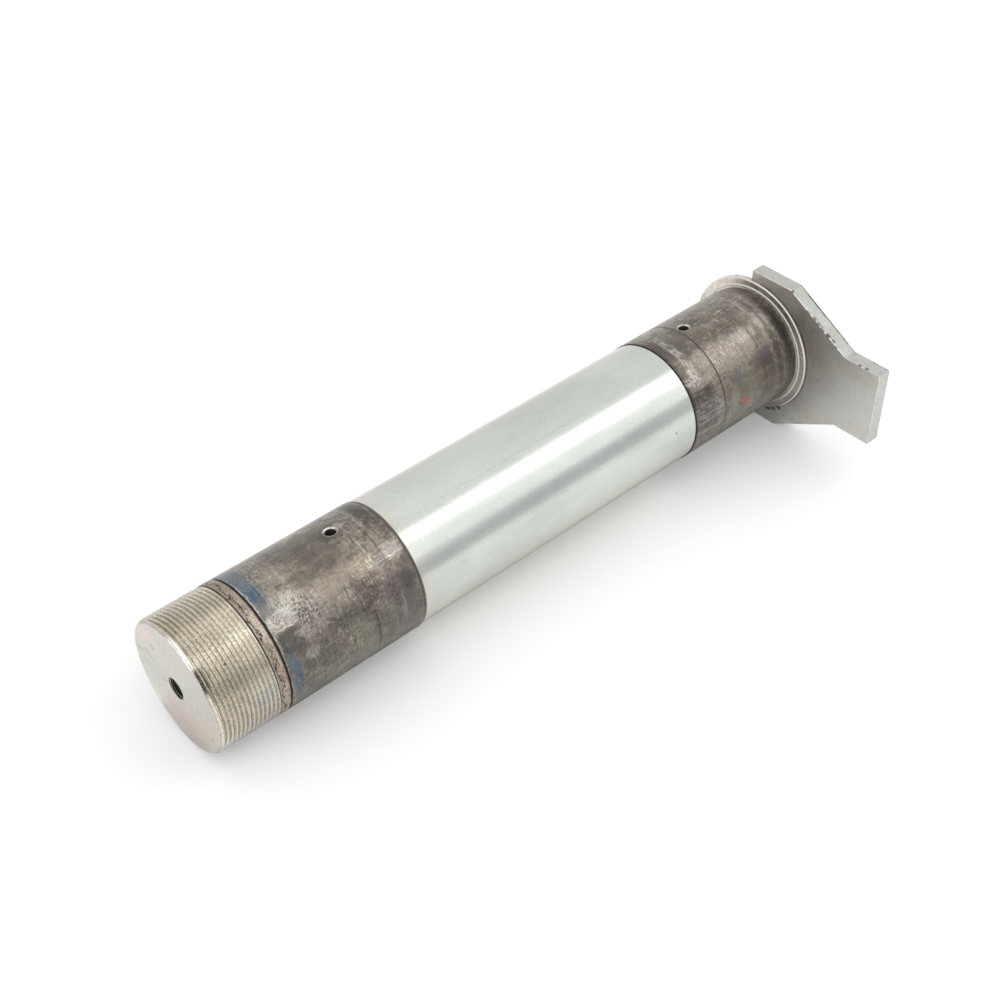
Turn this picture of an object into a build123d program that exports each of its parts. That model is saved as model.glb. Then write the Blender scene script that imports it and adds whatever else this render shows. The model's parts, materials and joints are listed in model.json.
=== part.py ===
"""Plough pin: a turned bar with a threaded end, two bearing sections and a welded lock plate.

The pin lies along X. The origin is on its axis, in the plane of the collar's seating face,
from which the bar runs along -X to the threaded end. The lock plate stands across the other
end with its tongue along -Y, and +Z is up as the pin lies on the edge of its plate.
"""

import os
from math import cos, radians, sin, tan

from build123d import *

# Diameters of the turned bar
bearing_diameter = 60.0
thread_diameter = 59.8
middle_diameter = 59.4
collar_diameter = 70.0

# Lengths along the bar
rear_section_length = 70.0
middle_length = 162.0
front_section_length = 100.0
thread_length = 28.0
thread_band_length = 4.7

# Thread: a right-hand helical groove with straight flanks
thread_pitch = 2.0
thread_depth = 1.2
thread_angle = 60.0
thread_crest_flat = 0.25
thread_overcut = 0.1

# Collar, half of which is milled away to seat the lock plate
collar_thickness = 3.5
collar_chamfer = 0.6
plate_seat_depth = 1.5

# Chamfers of the turned bar
end_chamfer = 1.3
bearing_chamfer = 0.4

# Narrow grooves turned round the bar
shoulder_groove_width = 0.8
shoulder_groove_depth = 0.9
joint_groove_width = 0.8
joint_groove_depth = 0.6
score_distance = 50.4
score_width = 0.5
score_depth = 0.25

# Grinding relief in the corner between the rear bearing and the collar
relief_length = 5.0
relief_ramp = 1.2
relief_depth = 0.4
relief_face_depth = 0.3
relief_face_height = 0.8

# Grease port in the threaded end, its gallery and the outlets that feed the bearings
port_diameter = 9.0
port_depth = 14.0
port_countersink = 0.5
gallery_diameter = 6.0
gallery_overrun = 5.0
drill_point_angle = 118.0
outlet_diameter = 4.9
outlet_countersink_diameter = 6.2
outlet_countersink_angle = 90.0
front_outlet_distance = 252.0
rear_outlet_distance = 46.0
outlet_turn = 7.0

# Lock plate
plate_thickness = 7.5
plate_body_width = 80.0
plate_tongue_width = 40.0
plate_inner_edge = 4.0
plate_taper_start = 20.0
plate_tongue_start = 55.0
plate_tongue_end = 75.0
plate_corner_radius = 0.5
plate_edge_chamfer = 0.3

# Fillet weld behind the collar, along the inner edge of the plate
weld_leg = 4.5
weld_length = 48.0
weld_crown = 0.6

# Radii that follow from the diameters
bearing_radius = bearing_diameter / 2
thread_radius = thread_diameter / 2
middle_radius = middle_diameter / 2
collar_radius = collar_diameter / 2
shoulder_groove_radius = bearing_radius - shoulder_groove_depth
joint_groove_radius = bearing_radius - joint_groove_depth
relief_radius = bearing_radius - relief_depth
relief_face_radius = bearing_radius + relief_face_height
port_radius = port_diameter / 2
gallery_radius = gallery_diameter / 2

# Stations along X that follow from the lengths
rear_bearing_start = -rear_section_length
front_bearing_end = rear_bearing_start - middle_length
end_face = front_bearing_end - front_section_length
thread_end = end_face + thread_length
band_end = thread_end + thread_band_length
front_bearing_start = band_end + shoulder_groove_width
gallery_end = gallery_overrun - rear_outlet_distance
drill_point_slope = tan(radians(drill_point_angle / 2))

# Half widths of the thread's groove at its crest, its root and just outside the bar
thread_flank_slope = tan(radians(thread_angle / 2))
groove_half_crest = (thread_pitch - thread_crest_flat) / 2
groove_half_root = groove_half_crest - thread_depth * thread_flank_slope
groove_half_overcut = groove_half_crest + thread_overcut * thread_flank_slope
groove_start = end_face - thread_pitch
groove_end = thread_end + thread_pitch


# Turned bar, revolved from its half sections
with BuildPart() as pin_shaft:
    # Threaded end: its groove runs in from outside the end face and out beyond the raw band's face
    with BuildSketch(Plane.XY) as thread_section:
        with BuildLine():
            Polyline(
                (end_face, 0),
                (end_face, thread_radius - end_chamfer),
                (end_face + end_chamfer, thread_radius),
                (thread_end, thread_radius),
                (thread_end, 0),
                close=True,
            )
        make_face()
    revolve(axis=Axis.X)
    with BuildLine(mode=Mode.PRIVATE) as groove_path:
        Helix(
            pitch=thread_pitch,
            height=groove_end - groove_start,
            radius=thread_radius,
            center=(groove_start, 0, 0),
            direction=(1, 0, 0),
        )
    groove_wire = groove_path.wire()
    groove_mouth = groove_wire @ 0
    groove_outward = Vector(0, groove_mouth.Y, groove_mouth.Z).normalized()
    groove_plane = Plane(groove_mouth, x_dir=(1, 0, 0), z_dir=Vector(1, 0, 0).cross(groove_outward))
    with BuildSketch(groove_plane, mode=Mode.PRIVATE) as groove_section:
        with BuildLine():
            Polyline(
                (-groove_half_overcut, thread_overcut),
                (-groove_half_root, -thread_depth),
                (groove_half_root, -thread_depth),
                (groove_half_overcut, thread_overcut),
                close=True,
            )
        make_face()
    sweep(sections=groove_section.sketch, path=groove_wire, is_frenet=True, mode=Mode.SUBTRACT)

    # The rest of the bar, from the raw band's face to the collar
    with BuildSketch(Plane.XY) as bar_section:
        with BuildLine():
            Polyline(
                (thread_end, 0),
                (thread_end, bearing_radius),
                (band_end - bearing_chamfer, bearing_radius),
                (band_end, bearing_radius - bearing_chamfer),
                (band_end, shoulder_groove_radius),
                (front_bearing_start, shoulder_groove_radius),
                (front_bearing_start, bearing_radius - bearing_chamfer),
                (front_bearing_start + bearing_chamfer, bearing_radius),
                (front_bearing_end, bearing_radius),
                (front_bearing_end, joint_groove_radius),
                (front_bearing_end + joint_groove_width, joint_groove_radius),
                (front_bearing_end + joint_groove_width, middle_radius),
                (rear_bearing_start - joint_groove_width, middle_radius),
                (rear_bearing_start - joint_groove_width, joint_groove_radius),
                (rear_bearing_start, joint_groove_radius),
                (rear_bearing_start, bearing_radius),
                (-relief_length, bearing_radius),
                (relief_ramp - relief_length, relief_radius),
                (0, relief_radius),
                (relief_face_depth, relief_radius + relief_face_depth),
                (relief_face_depth, relief_face_radius - relief_face_depth),
                (0, relief_face_radius),
                (0, collar_radius - collar_chamfer),
                (collar_chamfer, collar_radius),
                (collar_thickness - collar_chamfer, collar_radius),
                (collar_thickness, collar_radius - collar_chamfer),
                (collar_thickness, 0),
                close=True,
            )
        make_face()
    revolve(axis=Axis.X)

    # Fine line scored round the rear bearing, close to its grease outlet
    with BuildSketch(Plane.XY) as score_section:
        with BuildLine():
            Polyline(
                (-score_distance - score_width / 2, bearing_radius + score_depth),
                (-score_distance - score_width / 2, bearing_radius),
                (-score_distance, bearing_radius - score_depth),
                (-score_distance + score_width / 2, bearing_radius),
                (-score_distance + score_width / 2, bearing_radius + score_depth),
                close=True,
            )
        make_face()
    revolve(axis=Axis.X, mode=Mode.SUBTRACT)

    # Seat milled across the collar: the plate lies on its floor, against its straight step
    with BuildSketch(Plane.YZ.offset(plate_seat_depth)):
        with Locations((plate_inner_edge, 0)):
            Rectangle(collar_diameter, collar_diameter, align=(Align.MAX, Align.CENTER))
    extrude(amount=collar_thickness, mode=Mode.SUBTRACT)

    # Grease port in the end face, with the gallery drilled on behind it
    with BuildSketch(Plane.XY) as gallery_section:
        with BuildLine():
            port_end = end_face + port_depth
            taper_end = port_end + (port_radius - gallery_radius) / drill_point_slope
            Polyline(
                (end_face, 0),
                (end_face, port_radius + port_countersink),
                (end_face + port_countersink, port_radius),
                (port_end, port_radius),
                (taper_end, gallery_radius),
                (gallery_end, gallery_radius),
                (gallery_end + gallery_radius / drill_point_slope, 0),
                close=True,
            )
        make_face()
    revolve(axis=Axis.X, mode=Mode.SUBTRACT)

    # Radial outlets from the gallery, one in each bearing section, on the same side
    outlet_direction = Vector(0, sin(radians(outlet_turn)), cos(radians(outlet_turn)))
    for outlet_distance in (front_outlet_distance, rear_outlet_distance):
        outlet_mouth = Vector(-outlet_distance, 0, 0) + outlet_direction * bearing_radius
        with Locations(Plane(outlet_mouth, x_dir=(1, 0, 0), z_dir=outlet_direction)):
            CounterSinkHole(
                radius=outlet_diameter / 2,
                counter_sink_radius=outlet_countersink_diameter / 2,
                depth=bearing_radius,
                counter_sink_angle=outlet_countersink_angle,
            )

# Lock plate: broad across the collar, then tapered to a tongue with parallel sides
with BuildPart() as lock_plate:
    body_half = plate_body_width / 2
    tongue_half = plate_tongue_width / 2
    with BuildSketch(Plane.YZ.offset(plate_seat_depth)) as plate_outline:
        with BuildLine():
            Polyline(
                (plate_inner_edge, -body_half),
                (plate_inner_edge, body_half),
                (-plate_taper_start, body_half),
                (-plate_tongue_start, tongue_half),
                (-plate_tongue_end, tongue_half),
                (-plate_tongue_end, -tongue_half),
                (-plate_tongue_start, -tongue_half),
                (-plate_taper_start, -body_half),
                close=True,
            )
        make_face()
        fillet(plate_outline.vertices(), radius=plate_corner_radius)
    extrude(amount=plate_thickness)
    plate_faces = lock_plate.faces().filter_by(Axis.X)
    chamfer(plate_faces.edges(), length=plate_edge_chamfer)

# Weld: a slightly raised fillet in the corner of the collar's back and the plate's edge
with BuildPart() as weld_bead:
    with BuildSketch(Plane.XY.offset(-weld_length / 2)) as weld_section:
        with BuildLine():
            weld_root = (collar_thickness, plate_inner_edge)
            toe_on_plate = (collar_thickness + weld_leg, plate_inner_edge)
            toe_on_collar = (collar_thickness, plate_inner_edge + weld_leg)
            Polyline(toe_on_plate, weld_root, toe_on_collar)
            SagittaArc(toe_on_collar, toe_on_plate, weld_crown)
        make_face()
    extrude(amount=weld_length)

os.makedirs("parts", exist_ok=True)
pin_shaft.part.label = "pin_shaft"
lock_plate.part.label = "lock_plate"
weld_bead.part.label = "weld_bead"
export_step(pin_shaft.part, "parts/pin_shaft.step")
export_step(lock_plate.part, "parts/lock_plate.step")
export_step(weld_bead.part, "parts/weld_bead.step")
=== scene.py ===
"""Looks of a plough pin: a turned steel bar with a threaded end and a welded lock plate.

The pin lies along X with its threaded end towards -X, and +Z is up. Lengths are in metres.
Marks on the bar are placed as on a lathe: by the distance from the threaded end in
millimetres, and by the angle round the bar in degrees, 0 on the tongue's side and -90 on top.
"""

import json
import logging
import math
from contextlib import contextmanager
from dataclasses import dataclass, field
from enum import Enum
from typing import Callable, Iterator, Sequence, Union

import bpy
from mathutils import Matrix, Vector

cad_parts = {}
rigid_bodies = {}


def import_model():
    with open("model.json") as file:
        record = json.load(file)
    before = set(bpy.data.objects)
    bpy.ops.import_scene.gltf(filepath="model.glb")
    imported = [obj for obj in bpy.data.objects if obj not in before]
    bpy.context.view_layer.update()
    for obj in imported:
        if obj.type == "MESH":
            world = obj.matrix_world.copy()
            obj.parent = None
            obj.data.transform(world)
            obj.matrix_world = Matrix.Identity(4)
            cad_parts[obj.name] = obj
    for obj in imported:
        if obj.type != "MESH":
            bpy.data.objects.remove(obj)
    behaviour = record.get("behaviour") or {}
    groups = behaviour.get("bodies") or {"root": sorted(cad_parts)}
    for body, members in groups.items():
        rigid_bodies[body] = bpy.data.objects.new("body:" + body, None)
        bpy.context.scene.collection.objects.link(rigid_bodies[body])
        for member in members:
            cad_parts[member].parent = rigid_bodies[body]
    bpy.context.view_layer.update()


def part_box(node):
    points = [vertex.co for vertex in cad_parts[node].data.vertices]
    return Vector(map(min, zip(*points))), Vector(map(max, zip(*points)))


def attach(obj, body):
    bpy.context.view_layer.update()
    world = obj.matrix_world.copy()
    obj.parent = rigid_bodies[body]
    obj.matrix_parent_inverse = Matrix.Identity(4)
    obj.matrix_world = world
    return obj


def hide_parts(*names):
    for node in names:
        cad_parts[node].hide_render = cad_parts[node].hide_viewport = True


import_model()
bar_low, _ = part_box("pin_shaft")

MM = 0.001
BODY = "root"
BAR_RADIUS_MM = 30.0
MM_A_DEGREE = BAR_RADIUS_MM * math.pi / 180
log = logging.getLogger("plough_pin")

Pair = tuple[float, float]
Triple = tuple[float, float, float]
Colour = Triple
Socket = bpy.types.NodeSocket
Feed = Union[Socket, float, Colour]

# Places nearer than this, in metres, count as one
SAME_PLACE = 1e-6
# How far a pattern is moved along each axis for each unit of its shift
SHIFT_RUN: Triple = (1.0, 0.7, 1.3)
# Behind the bar, tones that follow the angle fade out between these angles
OUT_OF_SIGHT: Pair = (148.0, 172.0)
# How far the marks' outlines wander: along and round the bar, and on a flat face
BAR_WOBBLE: Pair = (2.4, 4.8)
FLAT_WOBBLE: Pair = (2.4, 2.4)


class Grain(Enum):
    """How a mark is broken up within its outline."""

    PLAIN = "plain"
    SPECKLED = "speckled"
    LENGTHWISE = "lengthwise"
    AROUND = "around"
    SLANTED = "slanted"


@dataclass(frozen=True)
class Mark:
    """A stain, worn patch, heat tint or scratch on the bar.

    x and half_x are in millimetres from the threaded end, angle and half_angle in degrees. On the
    flat faces they stand for Y and Z in millimetres. Where ring is set, only the mark's outline
    shows, that share of its size wide. A square mark has straight sides and round corners.
    """

    x: float
    angle: float
    half_x: float
    half_angle: float
    colour: Colour
    strength: float = 1.0
    edge: float = 0.35
    ragged: float = 0.5
    grain: Grain = Grain.PLAIN
    ring: float = 0.0
    square: bool = False


# Bench: small helpers round Blender's own operators


def deselect_all() -> None:
    """Leaves nothing selected and nothing active."""
    for item in bpy.context.view_layer.objects:
        item.select_set(False)
    bpy.context.view_layer.objects.active = None


def pick(piece: bpy.types.Object) -> None:
    """Makes one object the only one selected, and the active one."""
    deselect_all()
    piece.select_set(True)
    bpy.context.view_layer.objects.active = piece


@contextmanager
def editing(piece: bpy.types.Object, select: str = "DESELECT") -> Iterator[None]:
    """Holds one object in edit mode.

    Args:
        piece: The mesh object that is edited.
        select: SELECT to begin with everything selected, DESELECT with nothing.
    """
    pick(piece)
    bpy.ops.object.mode_set(mode="EDIT")
    bpy.ops.mesh.select_all(action=select)
    yield
    bpy.ops.object.mode_set(mode="OBJECT")


def new_piece(name: str) -> bpy.types.Object:
    """Names the primitive that was just added, and puts its place into its mesh.

    Args:
        name: The name of the piece and of its mesh.

    Returns:
        The named object.
    """
    piece = bpy.context.object
    piece.name = name
    piece.data.name = name
    bpy.ops.object.transform_apply(location=True, rotation=True, scale=True)
    return piece


def close_mesh(piece: bpy.types.Object, gap: float = 1e-7) -> None:
    """Merges doubled corners and turns every face outwards.

    Args:
        piece: The mesh object to close.
        gap: Corners nearer than this are merged.
    """
    with editing(piece, "SELECT"):
        bpy.ops.mesh.remove_doubles(threshold=gap)
        bpy.ops.mesh.normals_make_consistent(inside=False)


def apply_modifiers(piece: bpy.types.Object) -> None:
    """Applies every modifier of a piece, in order."""
    pick(piece)
    for name in [modifier.name for modifier in piece.modifiers]:
        bpy.ops.object.modifier_apply(modifier=name)


def combine(piece: bpy.types.Object, tool: bpy.types.Object, operation: str) -> None:
    """Joins, cuts or intersects a piece with a tool, which is used up.

    Args:
        piece: The object that stays.
        tool: The object that cuts or is joined on.
        operation: UNION, DIFFERENCE or INTERSECT.
    """
    step = piece.modifiers.new(operation.lower(), "BOOLEAN")
    step.operation = operation
    step.solver = "MANIFOLD"
    step.object = tool
    apply_modifiers(piece)
    bpy.data.objects.remove(tool)


def smooth(piece: bpy.types.Object, angle: float) -> None:
    """Shades a piece smooth, with its large faces true and its sharper edges kept.

    Args:
        piece: The mesh object.
        angle: Edges that turn by more than this stay sharp.
    """
    pick(piece)
    bpy.ops.object.shade_smooth_by_angle(angle=angle)
    weigh = piece.modifiers.new("weigh", "WEIGHTED_NORMAL")
    weigh.keep_sharp = True
    apply_modifiers(piece)


def finish_piece(piece: bpy.types.Object, slot: str, *nodes: str) -> None:
    """Rides a finished piece on the part and lets it stand for its CAD nodes.

    Args:
        piece: The finished mesh object.
        slot: The record's material slot; not used.
        nodes: The CAD nodes that the piece replaces.
    """
    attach(piece, BODY)
    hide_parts(*nodes)
    log.info("%s: %d faces, stands for %s", piece.name, len(piece.data.polygons), ", ".join(nodes))


@dataclass(frozen=True)
class Corner:
    """One corner of a half section: its place along the axis, its radius and its rounding."""

    x: float
    radius: float
    round: float = 0.0


def draw(name: str, places: Sequence[Vector]) -> bpy.types.Object:
    """Draws a chain of edges from place to place.

    Args:
        name: The name of the new object.
        places: The corners of the chain, in order.

    Returns:
        The drawn object.
    """
    deselect_all()
    bpy.ops.mesh.primitive_plane_add(size=MM)
    piece = new_piece(name)
    with editing(piece, "SELECT"):
        bpy.ops.mesh.merge(type="CENTER")
        bpy.ops.transform.translate(value=places[0])
        for before, after in zip(places, places[1:]):
            bpy.ops.mesh.extrude_vertices_move(TRANSFORM_OT_translate={"value": after - before})
    return piece


def turn(name: str, corners: Sequence[Corner], steps: int) -> bpy.types.Object:
    """Turns a closed solid from a half section, as on a lathe, with the axis along X.

    Args:
        name: The name of the solid.
        corners: The half section, whose first and last corners lie on the axis.
        steps: The number of steps round the axis.

    Returns:
        The turned solid.
    """
    piece = draw(name, [Vector((corner.x, corner.radius, 0.0)) for corner in corners])
    round_corners(piece, corners)
    with editing(piece, "SELECT"):
        bpy.ops.mesh.spin(steps=steps, angle=math.tau, center=(0, 0, 0), axis=(1, 0, 0))
    close_mesh(piece)
    return piece


def round_corners(piece: bpy.types.Object, corners: Sequence[Corner]) -> None:
    """Rounds the corners of a drawn half section that state a rounding.

    Args:
        piece: The drawn section, a chain of edges in the plane z = 0.
        corners: The corners it was drawn from.
    """
    for size in sorted({corner.round for corner in corners if corner.round > 0}):
        places = [Vector((c.x, c.radius, 0.0)) for c in corners if c.round == size]
        with editing(piece):
            bpy.ops.object.mode_set(mode="OBJECT")
            for vertex in piece.data.vertices:
                vertex.select = min((vertex.co - place).length for place in places) < SAME_PLACE
            bpy.ops.object.mode_set(mode="EDIT")
            bpy.ops.mesh.bevel(offset=size, segments=3, affect="VERTICES")


@dataclass(frozen=True)
class HelicalGroove:
    """A straight-flanked groove that winds right-handed round X.

    It starts on top of the bar at start. depth is positive into a bar of that radius, and
    negative outwards into the wall of a bore.
    """

    start: float
    turns: int
    radius: float
    depth: float
    pitch: float
    crest_flat: float
    overcut: float = 0.1 * MM
    flank_slope: float = math.tan(math.radians(30))
    steps: int = 256

    def tool(self, name: str) -> bpy.types.Object:
        """Makes the closed solid that cuts the groove.

        Args:
            name: The name of the solid.

        Returns:
            The cutting tool.
        """
        half_crest = (self.pitch - self.crest_flat) / 2
        half_root = half_crest - abs(self.depth) * self.flank_slope
        half_over = half_crest + self.overcut * self.flank_slope
        over = self.radius + math.copysign(self.overcut, self.depth)
        root = self.radius - self.depth
        section = [
            Vector((self.start - half_over, 0.0, over)),
            Vector((self.start - half_root, 0.0, root)),
            Vector((self.start + half_root, 0.0, root)),
            Vector((self.start + half_over, 0.0, over)),
        ]
        tool = draw(name, section)
        with editing(tool, "SELECT"):
            bpy.ops.mesh.edge_face_add()
        helix = tool.modifiers.new("helix", "SCREW")
        helix.axis = "X"
        helix.angle = math.tau
        helix.screw_offset = self.pitch
        helix.iterations = self.turns
        helix.steps = self.steps
        helix.render_steps = self.steps
        apply_modifiers(tool)
        with editing(tool):
            bpy.ops.mesh.select_non_manifold()
            bpy.ops.mesh.fill()
        close_mesh(tool)
        return tool


class Recipe:
    """Lays the nodes of one material and joins them."""

    def __init__(self, name: str, metallic: float = 1.0) -> None:
        """Starts a material with a Principled shader.

        Args:
            name: The material's name.
            metallic: The shader's metallic value.
        """
        self.material = bpy.data.materials.new(name)
        self.material.use_nodes = True
        self.tree = self.material.node_tree
        self.tree.nodes.clear()
        output = self.tree.nodes.new("ShaderNodeOutputMaterial")
        self.shader = self.tree.nodes.new("ShaderNodeBsdfPrincipled")
        self.shader.inputs["Metallic"].default_value = metallic
        self.tree.links.new(self.shader.outputs[0], output.inputs["Surface"])
        self.place = self.node("ShaderNodeTexCoord").outputs["Object"]

    def node(self, kind: str, **settings: object) -> bpy.types.Node:
        """Adds a node and sets its properties."""
        made = self.tree.nodes.new(kind)
        for key, value in settings.items():
            setattr(made, key, value)
        return made

    def feed(self, socket: Socket, value: Feed) -> None:
        """Joins a socket to another, or gives it a constant.

        Args:
            socket: The input that is fed.
            value: An output socket, a number or a colour.
        """
        if isinstance(value, bpy.types.NodeSocket):
            self.tree.links.new(value, socket)
        elif isinstance(value, (int, float)):
            socket.default_value = value
        elif socket.type == "RGBA":
            socket.default_value = (*value, 1.0)
        else:
            socket.default_value = value

    def set(self, name: str, value: Feed) -> None:
        """Feeds one input of the shader by its name."""
        self.feed(self.shader.inputs[name], value)

    def math(self, operation: str, a: Feed, b: Feed = 0.0, c: Feed = 0.0) -> Socket:
        """Lays a Math node.

        Args:
            operation: The node's operation.
            a: The first value.
            b: The second value.
            c: The third value.

        Returns:
            The node's output.
        """
        made = self.node("ShaderNodeMath", operation=operation)
        for socket, value in zip(made.inputs, (a, b, c)):
            self.feed(socket, value)
        return made.outputs[0]

    def vector(
        self, operation: str, a: Feed, b: Feed = (0.0, 0.0, 0.0), c: Feed = (0.0, 0.0, 0.0)
    ) -> bpy.types.Node:
        """Lays a Vector Math node.

        Args:
            operation: The node's operation.
            a: The first vector.
            b: The second vector.
            c: The third vector.

        Returns:
            The node.
        """
        made = self.node("ShaderNodeVectorMath", operation=operation)
        for socket, value in zip(made.inputs, (a, b, c)):
            self.feed(socket, value)
        return made

    def texture(
        self,
        scale: Feed,
        detail: float = 3.0,
        rough: float = 0.55,
        shift: float = 0.0,
        warp: float = 0.0,
    ) -> bpy.types.Node:
        """Lays noise over the piece, stretched where scale has three values.

        Args:
            scale: Cells for each metre, one number or one for each axis.
            detail: Octaves of finer noise.
            rough: How strong the finer noise is.
            shift: Moves the pattern, so that two noises differ.
            warp: Distortion of the pattern.

        Returns:
            The noise node.
        """
        stretch = (scale, scale, scale) if isinstance(scale, (int, float)) else scale
        start = tuple(shift * run for run in SHIFT_RUN)
        moved = self.vector("MULTIPLY_ADD", self.place, stretch, start)
        made = self.node("ShaderNodeTexNoise")
        self.feed(made.inputs["Vector"], moved.outputs[0])
        made.inputs["Scale"].default_value = 1.0
        made.inputs["Detail"].default_value = detail
        made.inputs["Roughness"].default_value = rough
        made.inputs["Distortion"].default_value = warp
        return made

    def noise(self, *numbers: Feed, **named: float) -> Socket:
        """Gives the noise that texture lays as a value that stays near 0.5."""
        return self.texture(*numbers, **named).outputs["Fac"]

    def fade(
        self, value: Feed, low: float, high: float, at_low: float = 0.0, at_high: float = 1.0
    ) -> Socket:
        """Carries a value smoothly from one level to another.

        Args:
            value: The value that is carried.
            low: Where the change begins.
            high: Where the change ends.
            at_low: The level up to low.
            at_high: The level from high on.

        Returns:
            The level.
        """
        made = self.node("ShaderNodeMapRange", interpolation_type="SMOOTHSTEP")
        for socket, number in zip(made.inputs, (value, low, high, at_low, at_high)):
            self.feed(socket, number)
        return made.outputs[0]

    def mix(self, factor: Feed, a: Feed, b: Feed, blend: str = "MIX") -> Socket:
        """Mixes two colours.

        Args:
            factor: How much of the second colour shows.
            a: The first colour.
            b: The second colour.
            blend: The blend type.

        Returns:
            The mixed colour.
        """
        made = self.node("ShaderNodeMix", data_type="RGBA", blend_type=blend)
        self.feed(made.inputs[0], factor)
        self.feed(made.inputs[6], a)
        self.feed(made.inputs[7], b)
        return made.outputs[2]

    def shade(self, colour: Feed, factor: Feed) -> Socket:
        """Makes a colour lighter or darker.

        Args:
            colour: The colour.
            factor: What it is multiplied by.

        Returns:
            The shaded colour.
        """
        made = self.node("ShaderNodeVectorMath", operation="SCALE")
        self.feed(made.inputs[0], colour)
        self.feed(made.inputs["Scale"], factor)
        return made.outputs[0]

    def product(self, *factors: Socket) -> Socket:
        """Multiplies several values."""
        total = factors[0]
        for factor in factors[1:]:
            total = self.math("MULTIPLY", total, factor)
        return total

    def bump(self, height: Socket, depth: float) -> None:
        """Raises the surface by a height pattern.

        Args:
            height: The pattern, from 0 to 1.
            depth: What 1 stands for, in metres.
        """
        made = self.node("ShaderNodeBump")
        made.inputs["Strength"].default_value = 1.0
        made.inputs["Distance"].default_value = depth
        self.feed(made.inputs["Height"], height)
        self.feed(self.shader.inputs["Normal"], made.outputs[0])


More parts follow.
